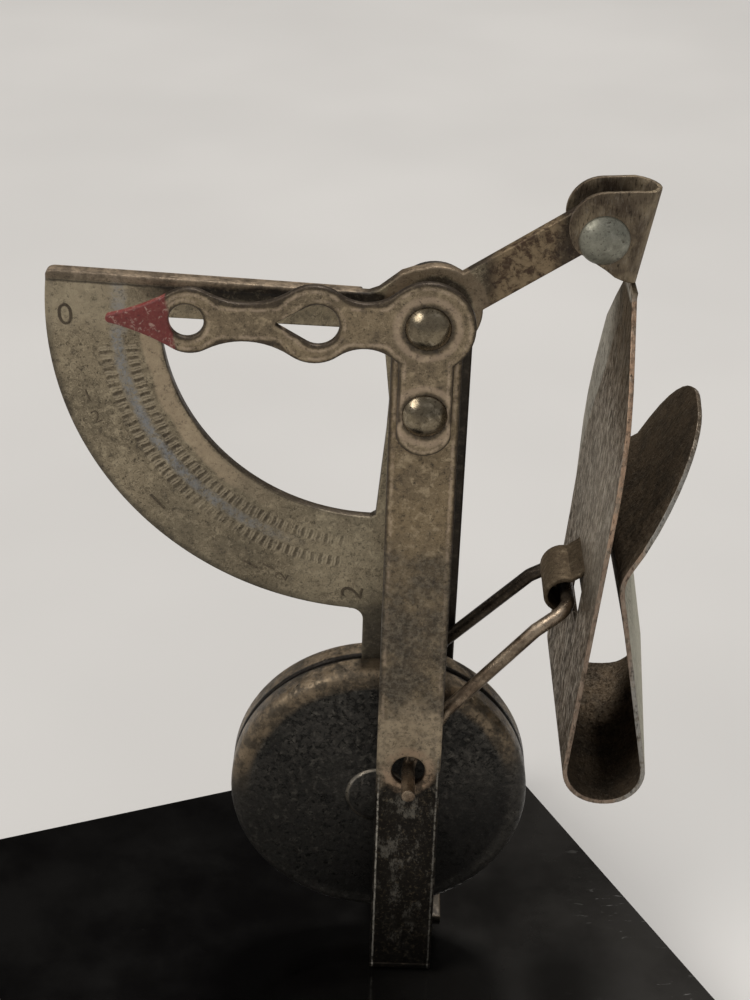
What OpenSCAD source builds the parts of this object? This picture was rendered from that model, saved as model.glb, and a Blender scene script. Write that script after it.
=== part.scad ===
// Pendulum letter balance: a riveted brass quadrant scale on a polished slab.
// Millimetres, +Z up. The pivot is on the YZ plane.
// A load turns the quadrant clockwise seen from the front (-Y).

/* [Base slab] */
// Length of the slab's back edge
base_length = 85; // [80:0.5:95]
// Length of the slab's right edge
base_depth = 66.5; // [62:0.5:75]
// Thickness of the slab
base_height = 10; // [8:0.5:16]
// Turn of the slab under the scale, in degrees
base_turn = 21.9; // [15:0.1:28]
// How far the slab's corners are out of square, in degrees
base_skew = 5.2; // [0:0.1:8]
// Width of the flat bevel round every edge
base_bevel = 0.7; // [0.3:0.1:1.5]

/* [Post] */
// Height of the pivot above the slab
pivot_rise = 92; // [90:0.5:94]
// Half the width of the A-frame at the slab
foot_half = 9.5; // [9:0.1:11]
// Half the width of the A-frame at the pivot
top_half = 5.6; // [5.4:0.1:6]
// Width of the front strap
front_width = 8; // [7:0.5:9]
// Width of the back strap
back_width = 9.5; // [9:0.1:10]
// Thickness of both straps
strap_t = 1; // [0.9:0.1:1.1]
// Radius of the holes the wire link passes through
wire_hole_r = 2.1; // [1.9:0.1:2.3]

/* [Pointer] */
// Thickness of the pointer plate
pointer_t = 1; // [0.8:0.1:1.2]
// Distance from the pivot to the pointer's tip
pointer_reach = 35.6; // [35:0.1:36]

/* [Quadrant] */
// Thickness of the quadrant and its arm
plate_t = 1.5; // [1.2:0.1:1.6]
// Outer radius of the scale band
band_outer_r = 38.1; // [37:0.1:39]
// Inner radius of the scale band
band_inner_r = 25.1; // [24.5:0.1:26]
// Depth of the flange along the top edge
flange_depth = 2.1; // [1.8:0.05:3]

/* [Weight] */
// Radius of the weight
weight_r = 19; // [18.5:0.1:19.2]
// Half the thickness of the weight
weight_half = 3.9; // [3.5:0.1:4]
// Thickness of the shells' sheet
shell_t = 0.5; // [0.4:0.05:0.7]

/* [Letter clip] */
// Width of the clip
clip_width = 29.5; // [26:0.5:31]
// Thickness of the clip's sheet
clip_t = 0.55; // [0.5:0.05:0.7]
// Inner radius of the hook that holds the wire link
hook_r = 2.1; // [2.05:0.05:2.2]

/* [Wire link] */
// Radius of the wire
wire_r = 0.85; // [0.75:0.05:0.9]
// Distance of each leg from the middle
leg_half = 5.45; // [5.3:0.05:5.5]

/* [Hidden] */
$fn = 64;
eps = 0.01;
// Bends reach this far into the straight parts, and are this much thinner, so that the two join cleanly
lap = 0.05;
skin = 0.004;
// Cutters run this far past a face, and cutting bars this far out from the middle
over = 1;
reach = 12;
// Side of the plain blocks that trim leaning parts
block = 10;
// Facets of the large circles
wide_fn = 128;
middle_fn = 96;

brass = [0.42, 0.36, 0.25];
dark_brass = [0.22, 0.18, 0.13];
worn_brass = [0.55, 0.46, 0.34];
black_gloss = [0.05, 0.05, 0.05];
grey_steel = [0.38, 0.37, 0.35];

pivot_z = base_height + pivot_rise;
lean = atan((foot_half - top_half) / pivot_rise);
base_corner = [12.9, 43.4];
back_run = [cos(base_turn), sin(base_turn)];
side_run = [sin(base_turn + base_skew), -cos(base_turn + base_skew)];

// Fixings of the feet
screw_y = 4.7;
screw_r = 1.5;
screw_gap = 0.15;
head_r = 2.5;
head_h = 2;
slot_w = 0.7;
slot_depth = 0.8;
nut_r = 3.1;
nut_h = 2.4;
nut_recess = 3.4;
screw_stub = 0.4;
foot_bend_r = 0.8;
foot_end = 0.9;
back_side = 0.8;
back_top_drop = 1.45;
// The straps are drawn this much above the pivot, then cut to their round tops
strap_spare = 8;

// Rivets and bushes
rivet_r = 1.5;
fit_gap = 0.03;
dome_r = 2.6;
dome_h = 1.5;
bush_r = 2.4;
bush_play = 0.06;
pointer_rivet_drop = 10.5;
pointer_rivet_r = 1.1;
pointer_dome_r = 2.6;
pointer_dome_h = 1.4;
tail_rivet_head = 1.7;
tail_head_h = 0.5;
// Shafts reach this far into their heads
shaft_in = 0.5;
pointer_shaft_in = 0.8;

// Pointer outline, measured from the pivot
lobe_far = [-26.4, 0];
lobe_far_r = 3.8;
lobe_near = [-12.6, 0];
lobe_near_r = 4.55;
hub_r = 5.3;
tip_r = 0.5;
blend_far = 25;
blend_mid = 9;
blend_hub = 5;
tail_mid = -0.05;
tail_w = 6.2;
tail_end = 15.5;
tail_r = 3.3;
eye_mid = [-26.7, 0];
eye_r = 1.95;
drop_start = [-12.2, 0];
drop_end = [-16.6, 0];
drop_r = 2.4;
drop_point_r = 0.2;

// Quadrant outline
band_mid = [-5.2, base_height + 89.6];
band_top = base_height + 95.1;
band_slope = 2.4;
band_low = band_mid[1] - band_outer_r + 0.05;
bar_low = 90.2;
flange_t = 1.2;
flange_length = 36;
frame_hub = [0.9, base_height + 91.7];
frame_hub_r = 5.3;
hub_shoulder = [[-6.6, 93.1], [-5.6, 94], [-3.1, 96.1], [-1.3, 96.5], [0.9, 91.7]];
leg_right = 3.4;
bar_drop = 2.5;
band_floor = base_height + 45;
// Right side of the window, from the top bar down, above the slab
window_side = [[-5, 89.1], [-4, 80.2], [-4.2, 76.2], [-5.3, 64.5], [-6.4, 60]];
stem_left = -6.3;
stem_fillet = 1.6;
stem_high = base_height + 53;
stem_low = base_height + 42;
arm_half = 2.45;
arm_start = [1.2, base_height + 91.6];
arm_finish = [16.9, base_height + 102];
arm_tip = [18.85, base_height + 102.6];
arm_tip_r = 3.3;
arm_end = [18.85, base_height + 101.6];

// Weight
weight_mid = [-3.6, base_height + 25.3];
weight_boss_r = 4.2;
weight_boss_h = 0.5;
shell_edge = 0.15;
shoulder_r = 1.4;
stem_end_r = 6;
spacer_r = 3;
rivet_proud = 0.3;
// Notch in the rims that lets the stem in: room beside and before it, its start, depth and height
notch_side = 0.3;
notch_front = 0.1;
notch_from = 10;
notch_depth = 2;
notch_high = 12;

// Wire link
wire_axis = base_height + 31.9;
wire_hole_z = base_height + 32.5;
cross_bar = [18.38, base_height + 55.63];
wire_bend = 1.6;
wire_front_end = 12.4;
wire_back_end = 9.6;
// Bends of the near and far legs, as [x, height above the slab]
near_leg = [[4.4, 40.1], [14.6, 52.3]];
far_leg = [[14.4, 53.4], [4, 43]];

// Clip: sheet path from the web's top to the bottom of the bend, each step [run, bend radius, left turn]
clip_top = [24.7, base_height + 107.9];
clip_heading = -99;
clip_front_path = [[12.3, 6, 6.7], [11.4, 20, -2.4], [44, 4.65, 94.7], [0.05, 0, 0]];
// The rest of the path, which starts level at the bottom of the bend
clip_back_path = [[0.05, 4.65, 100.9], [24.2, 5, -37.4], [15.7, 0, 0]];
clip_yaw = 5;
shoulder_start = base_height + 73;
clip_shoulder_r = 24.7;
neck_half = 3.3;
web_low = base_height + 95.8;
lip_end_r = 15;
// The lip is fuller on its far side: second round, and its distance from the middle
lip_far_r = 11.5;
lip_far_side = 3;
hook_mid = [18.07, base_height + 56.26];
hook_half = 4;
hook_from = 30;
hook_to = 300;
window_low = base_height + 52.6;
window_high = base_height + 57.3;
window_half = 4.4;
window_from = 15;
window_depth = 7;
// Cutter that shapes the sheet across its width
sheet_low = base_height + 20;
trim_from = 10;
trim_depth = 20;
trim_high = 50;
lip_depth = 6;
ear_mid = [18.95, base_height + 103];
ear_r = 4.05;
ear_half = 2.8;
ear_points = [[18.95, 107.05], [24.75, 107.9], [22.75, 96], [21.3, 96.5], [19.4, 98.05], [16.1, 100.1]];
clip_rivet_r = 1.25;
clip_dome_r = 2.85;
clip_dome_h = 1.3;
washer_r = 2.6;

// ---- shared shapes ----

// Centre of the circle of radius r outside both given circles and tangent to them
function blend_centre(c1, r1, c2, r2, r, side) =
    let (d = norm(c2 - c1), u = (c2 - c1) / d, a = r1 + r, b = r2 + r,
         along = (a * a - b * b + d * d) / (2 * d), off = sqrt(a * a - along * along))
    c1 + u * along + side * off * [-u[1], u[0]];

// Two circles joined by a neck with concave sides
module necked(c1, r1, c2, r2, r) {
    up = blend_centre(c1, r1, c2, r2, r, 1);
    down = blend_centre(c1, r1, c2, r2, r, -1);
    difference() {
        union() {
            translate(c1) circle(r1);
            translate(c2) circle(r2);
            polygon([c1, down, c2, up]);
        }
        translate(up) circle(r + skin, $fn = middle_fn);
        translate(down) circle(r + skin, $fn = middle_fn);
    }
}

// A 2D shape in XZ made into a plate from y1 to y2
module plate(y1, y2) {
    translate([0, y2, 0]) rotate([90, 0, 0]) linear_extrude(y2 - y1) children();
}

// A round bar along Y
module y_bar(x, z, r, y1, y2) {
    translate([x, y2, z]) rotate([90, 0, 0]) cylinder(r = r, h = y2 - y1);
}

// A bar with round ends between two points of the XZ plane
module slot_shape(a, b, r1, r2) {
    d = b - a;
    s = (r1 - r2) / norm(d);
    u = d / norm(d);
    n = [-u[1], u[0]];
    c = sqrt(1 - s * s);
    translate(a) circle(r1);
    translate(b) circle(r2);
    left = s * u + c * n;
    right = s * u - c * n;
    polygon([a + r1 * left, b + r2 * left, b + r2 * right, a + r1 * right]);
}

// The frame of the front strap: origin on its outer face at the pivot, +Y towards the middle
module front_lean() {
    translate([0, -top_half, pivot_z]) rotate([-lean, 0, 0]) children();
}

module back_lean() {
    mirror([0, 1, 0]) front_lean() children();
}

// A domed head standing on y = 0 and bulging to -Y
module dome(r, h) {
    ball = (r * r + h * h) / (2 * h);
    rotate([90, 0, 0]) intersection() {
        translate([0, 0, h - ball]) sphere(ball);
        cylinder(r = r + over, h = h + over);
    }
}

// Part of a flat ring between two angles
module ring_sector(inner, outer, from, to) {
    steps = ceil((to - from) / 60);
    far = 3 * outer;
    intersection() {
        difference() {
            circle(outer);
            circle(inner);
        }
        polygon(concat([[0, 0]], [for (i = [0:steps]) let (a = from + (to - from) * i / steps)
                                  far * [cos(a), sin(a)]]));
    }
}

// A strip of thickness t that arrives at the origin along +X and turns to the left (or right, if negative)
module bend_shape(radius, turn, t) {
    side = sign(turn);
    more = lap / radius * 180 / PI;
    half = t / 2 - skin;
    from = turn > 0 ? -90 : 90 + turn;
    to = turn > 0 ? turn - 90 : 90;
    translate([0, side * radius]) ring_sector(radius - half, radius + half, from - more, to + more);
}

// A strip of sheet seen from its edge: steps of [run, bend radius, turn]
module strip(path, t, i = 0) {
    run = path[i][0];
    radius = path[i][1];
    turn = path[i][2];
    side = sign(turn);
    translate([0, -t / 2]) square([run, t]);
    if (i + 1 < len(path)) {
        translate([run, 0]) {
            bend_shape(radius, turn, t);
            translate([radius * sin(abs(turn)), side * radius * (1 - cos(turn))])
                rotate(turn) strip(path, t, i + 1);
        }
    }
}

// Where such a strip ends, and its heading there, as [x, y, heading]
function strip_end(path, at, heading, i = 0) =
    let (u = [cos(heading), sin(heading)], n = [-u[1], u[0]], q = at + path[i][0] * u,
         radius = path[i][1], turn = path[i][2])
    i + 1 == len(path) ? [q[0], q[1], heading]
    : strip_end(path, q + radius * (sin(abs(turn)) * u + sign(turn) * (1 - cos(turn)) * n), heading + turn, i + 1);

function unit(v) = v / norm(v);

module along(dir) {
    rotate([0, acos(dir[2]), atan2(dir[1], dir[0])]) children();
}

// A round wire through the given points, bent with radius bend at each inner one
module wire(points, r, bend) {
    last = len(points) - 1;
    dirs = [for (i = [0:last - 1]) unit(points[i + 1] - points[i])];
    turns = [for (i = [0:last]) i == 0 || i == last ? 0 : acos(dirs[i - 1] * dirs[i])];
    trims = [for (t = turns) bend * tan(t / 2)];
    for (i = [0:last - 1])
        translate(points[i] + trims[i] * dirs[i]) along(dirs[i])
            cylinder(r = r, h = norm(points[i + 1] - points[i]) - trims[i] - trims[i + 1]);
    for (i = [1:last - 1]) {
        axis = unit(cross(dirs[i - 1], dirs[i]));
        out = cross(dirs[i - 1], axis);
        more = lap / bend * 180 / PI;
        mid = points[i] - trims[i] * dirs[i - 1] - bend * out;
        multmatrix([[out[0], dirs[i - 1][0], axis[0], mid[0]],
                    [out[1], dirs[i - 1][1], axis[1], mid[1]],
                    [out[2], dirs[i - 1][2], axis[2], mid[2]],
                    [0, 0, 0, 1]])
            rotate(-more) rotate_extrude(angle = turns[i] + 2 * more)
                translate([bend, 0]) circle(r - skin, $fn = 32);
    }
}

// ---- base ----

// Corners counterclockwise from the back right
slab_corners = [base_corner,
                base_corner - base_length * back_run,
                base_corner - base_length * back_run + base_depth * side_run,
                base_corner + base_depth * side_run];

// A square bar laid along one side, which cuts the flat bevel
module bevel_bar(a, b, z) {
    side = b - a;
    bar = base_bevel * sqrt(2);
    translate([(a[0] + b[0]) / 2, (a[1] + b[1]) / 2, z])
        rotate(atan2(side[1], side[0])) rotate([45, 0, 0])
            cube([norm(side) + block, bar, bar], center = true);
}

module slab() difference() {
    linear_extrude(base_height) polygon(slab_corners);
    for (i = [0:3]) for (z = [0, base_height])
        bevel_bar(slab_corners[i], slab_corners[(i + 1) % 4], z);
}

module base() color(black_gloss) difference() {
    slab();
    for (side = [-1, 1]) translate([0, side * screw_y, 0]) {
        translate([0, 0, -over]) cylinder(r = screw_r + screw_gap, h = base_height + 2 * over);
        translate([0, 0, -over]) cylinder(r = nut_r + screw_gap, h = nut_recess + over, $fn = 6);
    }
}

module base_screws() color(grey_steel) for (side = [-1, 1]) translate([0, side * screw_y, 0]) {
    top = base_height + strap_t;
    foot = nut_recess - nut_h - screw_stub;
    translate([0, 0, foot]) cylinder(r = screw_r, h = top - foot + eps);
    difference() {
        translate([0, 0, top]) cylinder(r = head_r, h = head_h);
        translate([-head_r - over, -slot_w / 2, top + head_h - slot_depth])
            cube([2 * (head_r + over), slot_w, slot_depth + over]);
    }
}

module base_nuts() color(grey_steel) for (side = [-1, 1])
    translate([0, side * screw_y, nut_recess - nut_h]) difference() {
        cylinder(r = nut_r, h = nut_h, $fn = 6);
        translate([0, 0, -over]) cylinder(r = screw_r + fit_gap, h = nut_h + 2 * over);
    }

// ---- post ----

// Section of the front strap in the YZ plane: foot, bend and leaning leg
module strap_section() {
    r = foot_bend_r + strap_t;
    bend_z = base_height + r;
    bend_y = -top_half + (r + (bend_z - pivot_z) * sin(lean)) / cos(lean);
    leg = (pivot_z + strap_spare - bend_z) / cos(lean);
    translate([bend_y, base_height]) square([-foot_end - bend_y, strap_t]);
    translate([bend_y, bend_z]) {
        ring_sector(foot_bend_r, r, 180 - lean, 270);
        rotate(-lean) translate([-r, 0]) square([strap_t, leg]);
    }
}

module strap(width, top_z, top_r) {
    intersection() {
        rotate([90, 0, 90]) linear_extrude(width, center = true) strap_section();
        plate(-reach, 0) {
            translate([-width / 2, base_height - over]) square([width, top_z - base_height + over]);
            translate([0, top_z]) circle(top_r);
        }
    }
}

module front_strap() color(brass) difference() {
    strap(front_width, pivot_z, front_width / 2);
    y_bar(0, pivot_z, rivet_r + fit_gap, -reach, 0);
    y_bar(0, wire_hole_z, wire_hole_r, -reach, 0);
    y_bar(0, pivot_z - pointer_rivet_drop, pointer_rivet_r + fit_gap, -reach, 0);
    translate([0, -screw_y, base_height - over]) cylinder(r = screw_r + screw_gap, h = strap_t + 2 * over);
}

module back_strap() color(dark_brass) mirror([0, 1, 0]) difference() {
    translate([back_side, 0, 0]) strap(back_width, pivot_z - back_top_drop, back_width / 2);
    y_bar(0, pivot_z, rivet_r + fit_gap, -reach, 0);
    y_bar(0, wire_hole_z, wire_hole_r, -reach, 0);
    translate([0, -screw_y, base_height - over]) cylinder(r = screw_r + screw_gap, h = strap_t + 2 * over);
}

module pointer_shape() {
    difference() {
        union() {
            necked([tip_r - pointer_reach, 0], tip_r, lobe_far, lobe_far_r, blend_far);
            necked(lobe_far, lobe_far_r, lobe_near, lobe_near_r, blend_mid);
            necked(lobe_near, lobe_near_r, [0, 0], hub_r, blend_hub);
            // Tail over the front strap, with a round end
            intersection() {
                translate([tail_mid - tail_w / 2, -tail_end - over]) square([tail_w, tail_end + over]);
                union() {
                    translate([tail_mid, tail_r - tail_end]) circle(tail_r);
                    translate([-tail_w, tail_r - tail_end]) square([2 * tail_w, tail_end]);
                }
            }
        }
        translate(eye_mid) circle(eye_r);
        slot_shape(drop_start, drop_end, drop_r, drop_point_r);
    }
}

module pointer_plate() color(brass) difference() {
    front_lean() plate(-pointer_t, 0) pointer_shape();
    y_bar(0, pivot_z, rivet_r + fit_gap, -reach, 0);
    y_bar(0, pivot_z - pointer_rivet_drop, pointer_rivet_r + fit_gap, -reach, 0);
}

module pointer_rivet() color(worn_brass) {
    rivet_z = pivot_z - pointer_rivet_drop;
    front_lean() translate([0, -pointer_t, -pointer_rivet_drop / cos(lean)]) dome(pointer_dome_r, pointer_dome_h);
    difference() {
        y_bar(0, rivet_z, pointer_rivet_r, -top_half - pointer_t - pointer_shaft_in, strap_t + over - top_half);
        front_lean() translate([-block / 2, strap_t + tail_head_h, -pointer_rivet_drop - block / 2])
            cube(block);
    }
    front_lean() translate([0, strap_t + tail_head_h, -pointer_rivet_drop / cos(lean)]) rotate([90, 0, 0])
        cylinder(r = tail_rivet_head, h = tail_head_h);
}

module pivot_rivet() color(worn_brass) {
    front_lean() translate([0, -pointer_t, 0]) dome(dome_r, dome_h);
    y_bar(0, pivot_z, rivet_r, -top_half - pointer_t - shaft_in, top_half + shaft_in);
    back_lean() dome(dome_r, dome_h);
}

module bush() difference() {
    y_bar(0, pivot_z, bush_r, -top_half, -plate_t / 2 - bush_play);
    y_bar(0, pivot_z, rivet_r + fit_gap, -reach, 0);
    front_lean() translate([-block / 2, strap_t - block, -block / 2]) cube(block);
}

module pivot_bush_front() color(dark_brass) bush();

module pivot_bush_back() color(dark_brass) mirror([0, 1, 0]) bush();

// ---- quadrant ----

module quadrant_shape() {
    x_end = band_mid[0] - band_outer_r;
    slope = tan(band_slope);
    fillet_mid = [stem_left - stem_fillet, band_low - stem_fillet];
    difference() {
        union() {
            // Scale band and top bar
            intersection() {
                translate(band_mid) circle(band_outer_r, $fn = wide_fn);
                polygon([[x_end - over, band_top], [stem_left, band_top + slope * (x_end - stem_left)],
                         [leg_right, band_top - bar_drop], [leg_right, band_floor], [x_end - over, band_floor]]);
            }
            // Hub, arm, and the stem that carries the weight
            translate(frame_hub) circle(frame_hub_r);
            translate([0, base_height]) polygon(hub_shoulder);
            slot_shape(arm_start, arm_finish, arm_half, arm_half);
            translate(arm_tip) circle(arm_tip_r);
            // Fillet between the band and the stem
            difference() {
                translate(fillet_mid) square(stem_fillet + 3 * lap);
                translate(fillet_mid) circle(stem_fillet);
            }
            polygon([[stem_left, stem_high], [stem_left, stem_low], weight_mid - [stem_end_r, 0],
                     weight_mid + [stem_end_r, 0], [leg_right, stem_low], [leg_right, pivot_z]]);
            translate(weight_mid) circle(stem_end_r);
        }
        // Window between the band, the top bar and the right leg
        intersection() {
            translate(band_mid) circle(band_inner_r, $fn = middle_fn);
            translate([0, base_height])
                polygon(concat([[x_end, 0], [x_end, bar_low]], window_side, [[window_side[4][0], 0]]));
        }
    }
}

module quadrant_frame() color(brass) difference() {
    union() {
        plate(-plate_t / 2, plate_t / 2) quadrant_shape();
        // Flange folded back along the top edge
        intersection() {
            translate([band_mid[0] - band_outer_r, -plate_t / 2, band_top]) rotate([0, band_slope, 0])
                translate([0, 0, -flange_t]) cube([flange_length, flange_depth, flange_t]);
            plate(-reach, reach) translate(band_mid) circle(band_outer_r, $fn = wide_fn);
        }
    }
    y_bar(0, pivot_z, rivet_r + bush_play, -reach, reach);
    y_bar(arm_end[0], arm_end[1], clip_rivet_r + bush_play, -reach, reach);
    y_bar(weight_mid[0], weight_mid[1], rivet_r + fit_gap, -reach, reach);
}

// ---- weight ----

// Half section of the weight, inset by a depth: radius across, distance from the middle up
module weight_section(inset) {
    r = weight_r - inset;
    h = weight_half - inset;
    corner = shoulder_r - inset;
    square([r, h - corner + eps]);
    square([r - corner, h]);
    translate([r - corner, h - corner]) intersection() {
        circle(corner);
        square(corner);
    }
}

module weight_shell() difference() {
    translate([weight_mid[0], 0, weight_mid[1]]) rotate([90, 0, 0]) rotate_extrude($fn = wide_fn)
        difference() {
            weight_section(0);
            weight_section(shell_t);
            square([weight_r + over, shell_edge]);
        }
    y_bar(weight_mid[0], weight_mid[1], rivet_r + fit_gap, -reach, reach);
    translate([stem_left - notch_side, -plate_t / 2 - notch_front, weight_mid[1] + notch_from])
        cube([leg_right - stem_left + 2 * notch_side, notch_depth, notch_high]);
}

module weight_front_shell() color(dark_brass) weight_shell();

module weight_back_shell() color(dark_brass) mirror([0, 1, 0]) weight_shell();

module weight_rivet() color(dark_brass) {
    y_bar(weight_mid[0], weight_mid[1], rivet_r, -weight_half - rivet_proud, weight_half + rivet_proud);
    for (side = [0, 1]) mirror([0, side, 0]) {
        translate([weight_mid[0], -weight_half, weight_mid[1]]) dome(weight_boss_r, weight_boss_h);
        y_bar(weight_mid[0], weight_mid[1], spacer_r, -weight_half + shell_t, -plate_t / 2);
    }
}

// ---- clip ----

// The plate's width at each height: full below, arched shoulders, neck, and the web between the ears
module plate_outline() {
    half = clip_width / 2;
    translate([-half, sheet_low]) square([clip_width, shoulder_start - sheet_low]);
    intersection() {
        translate([half - clip_shoulder_r, shoulder_start]) circle(clip_shoulder_r, $fn = middle_fn);
        translate([clip_shoulder_r - half, shoulder_start]) circle(clip_shoulder_r, $fn = middle_fn);
        translate([-half, shoulder_start - eps]) square([clip_width, trim_high]);
    }
    translate([-neck_half, shoulder_start - eps]) square([2 * neck_half, web_low - shoulder_start]);
    translate([-ear_half, shoulder_start - eps]) square([2 * ear_half, trim_high]);
}

// Everything beside the plate's outline
module plate_trim() {
    translate([trim_from, 0, 0]) rotate([90, 0, 90]) linear_extrude(trim_depth) difference() {
        translate([-clip_width, shoulder_start]) square([2 * clip_width, trim_high]);
        plate_outline();
    }
}

// Where the sheet lies flat at the bottom of the bend
clip_bottom = strip_end(clip_front_path, clip_top, clip_heading);

// Everything beyond the lip's rounded end, in the frame of the back path
module lip_trim() {
    end = strip_end(clip_back_path, [0, 0], 0);
    translate([end[0], 0, end[1]]) rotate([0, 90 - end[2], 0]) rotate([90, 0, 90])
        linear_extrude(lip_depth, center = true) difference() {
            translate([-clip_width, -lip_end_r]) square([2 * clip_width, lip_end_r + over]);
            translate([0, -lip_end_r]) circle(lip_end_r, $fn = middle_fn);
            translate([lip_far_side, -lip_far_r]) circle(lip_far_r, $fn = middle_fn);
        }
}

// Places its children, drawn from the bottom of the bend, turned about the near edge
module yawed() {
    translate([clip_bottom[0], -clip_width / 2, clip_bottom[1]]) rotate(-clip_yaw)
        translate([0, clip_width / 2, 0]) children();
}

module clip_front_sheet() difference() {
    plate(-clip_width / 2, clip_width / 2)
        translate(clip_top) rotate(clip_heading) strip(clip_front_path, clip_t);
    plate_trim();
    // Window the hook was cut from
    translate([window_from, -window_half, window_low])
        cube([window_depth, 2 * window_half, window_high - window_low]);
}

module clip_back_sheet() yawed() difference() {
    plate(-clip_width / 2, clip_width / 2) strip(clip_back_path, clip_t);
    lip_trim();
}

// The flat wedge between the two, at the bottom of the bend
module clip_wedge() {
    half = clip_width / 2;
    translate([clip_bottom[0], 0, clip_bottom[1] - clip_t / 2]) linear_extrude(clip_t)
        polygon([[-lap, -half], [lap, -half], [clip_width * tan(clip_yaw) + lap, half], [-lap, half]]);
}

module clip_ear() plate(-ear_half, clip_t - ear_half) {
    translate(ear_mid) circle(ear_r);
    translate([0, base_height]) polygon(ear_points);
}

module clip() color(worn_brass) difference() {
    union() {
        clip_front_sheet();
        clip_back_sheet();
        clip_wedge();
        clip_ear();
        mirror([0, 1, 0]) clip_ear();
        plate(-hook_half, hook_half)
            translate(hook_mid) ring_sector(hook_r, hook_r + clip_t, hook_from, hook_to);
    }
    y_bar(arm_end[0], arm_end[1], clip_rivet_r + fit_gap, -reach, reach);
}

module clip_rivet() color(grey_steel) {
    y_bar(arm_end[0], arm_end[1], clip_rivet_r, -ear_half - rivet_proud, ear_half + rivet_proud);
    for (side = [0, 1]) mirror([0, side, 0])
        translate([arm_end[0], -ear_half, arm_end[1]]) dome(clip_dome_r, clip_dome_h);
}

module clip_washers() color(dark_brass) for (side = [0, 1]) mirror([0, side, 0]) difference() {
    y_bar(arm_end[0], arm_end[1], washer_r, clip_t - ear_half, -plate_t / 2 - bush_play);
    y_bar(arm_end[0], arm_end[1], clip_rivet_r + fit_gap, -reach, reach);
}

// ---- wire link ----

module wire_link() color(brass) {
    wire([[0, -wire_front_end, wire_axis],
          [0, -leg_half, wire_axis],
          [near_leg[0][0], -leg_half, base_height + near_leg[0][1]],
          [near_leg[1][0], -leg_half, base_height + near_leg[1][1]],
          [cross_bar[0], -leg_half, cross_bar[1]],
          [cross_bar[0], leg_half, cross_bar[1]],
          [far_leg[0][0], leg_half, base_height + far_leg[0][1]],
          [far_leg[1][0], leg_half, base_height + far_leg[1][1]],
          [0, leg_half, wire_axis],
          [0, wire_back_end, wire_axis]], wire_r, wire_bend);
}

base();
base_screws();
base_nuts();
front_strap();
back_strap();
pointer_plate();
pointer_rivet();
pivot_rivet();
pivot_bush_front();
pivot_bush_back();
quadrant_frame();
weight_front_shell();
weight_back_shell();
weight_rivet();
clip();
clip_rivet();
clip_washers();
wire_link();
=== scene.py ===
# A pendulum letter balance in tarnished brass, standing on a black slab
import math
from types import SimpleNamespace
import bpy
import bmesh
from mathutils import Matrix, Vector


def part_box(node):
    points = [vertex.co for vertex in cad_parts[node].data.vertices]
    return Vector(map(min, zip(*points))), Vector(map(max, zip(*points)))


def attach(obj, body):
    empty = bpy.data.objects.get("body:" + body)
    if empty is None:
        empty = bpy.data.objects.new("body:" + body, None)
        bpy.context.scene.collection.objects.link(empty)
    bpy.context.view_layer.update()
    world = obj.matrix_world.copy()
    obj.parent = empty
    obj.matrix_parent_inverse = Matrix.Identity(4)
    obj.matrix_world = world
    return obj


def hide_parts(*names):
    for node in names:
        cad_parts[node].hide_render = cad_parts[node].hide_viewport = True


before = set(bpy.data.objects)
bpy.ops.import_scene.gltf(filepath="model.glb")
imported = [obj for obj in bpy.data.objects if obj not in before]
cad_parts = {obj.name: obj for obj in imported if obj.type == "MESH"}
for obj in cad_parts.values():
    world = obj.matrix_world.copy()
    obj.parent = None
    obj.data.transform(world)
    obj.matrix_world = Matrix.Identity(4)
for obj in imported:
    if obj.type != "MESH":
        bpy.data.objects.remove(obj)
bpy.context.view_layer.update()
mm = 0.001


def middle(node):
    low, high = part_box(node)
    return (low + high) / (2 * mm)


pivot = middle("pivot_bush_front")
pivot.y = 0.0
clipPivot = middle("clip_rivet")
weightMid = middle("weight_rivet")
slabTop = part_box("base")[1].z / mm
print("frame loaded, pivot height", round(pivot.z, 1))


# shape helpers, all in millimetres
def arc(x, z, r, start, end, steps=16):
    turns = [math.radians(start + (end - start) * i / steps) for i in range(steps + 1)]
    return [(x + r * math.cos(a), z + r * math.sin(a)) for a in turns]


def circle(x, z, r, steps=24):
    return arc(x, z, r, 0, 360, steps)[:-1]


def lerp(a, b, t):
    return a + (b - a) * t


def ease(low, high, value):
    t = min(1.0, max(0.0, (value - low) / (high - low)))
    return t * t * (3 - 2 * t)


def shift(x, y, z):
    return Matrix.Translation((x, y, z))


def turned(angle, axis):
    return Matrix.Rotation(math.radians(angle), 4, axis)


standUp = turned(90, "X")  # a plate drawn in XY then stands in XZ with its front to -Y
mirrorY = Matrix.Scale(-1, 4, (0, 1, 0))


def moved(mesh, *turns):
    for turn in reversed(turns):
        mesh.transform(turn)
    return mesh


def weld(work, dist=0.001):
    bmesh.ops.remove_doubles(work, verts=work.verts, dist=dist)
    bmesh.ops.recalc_face_normals(work, faces=work.faces)


def asMesh(work, name):
    mesh = bpy.data.meshes.new(name)
    work.to_mesh(mesh)
    work.free()
    return mesh


def addObject(name, data):
    added = bpy.data.objects.new(name, data)
    bpy.context.collection.objects.link(added)
    return added


def curveMesh(name, data):
    holder = addObject(name, data)
    bpy.context.view_layer.update()
    seen = holder.evaluated_get(bpy.context.evaluated_depsgraph_get())
    mesh = bpy.data.meshes.new_from_object(seen)
    bpy.data.objects.remove(holder)
    work = bmesh.new()
    work.from_mesh(mesh)
    weld(work, 0.0005)
    work.to_mesh(mesh)
    work.free()
    return mesh


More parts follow.
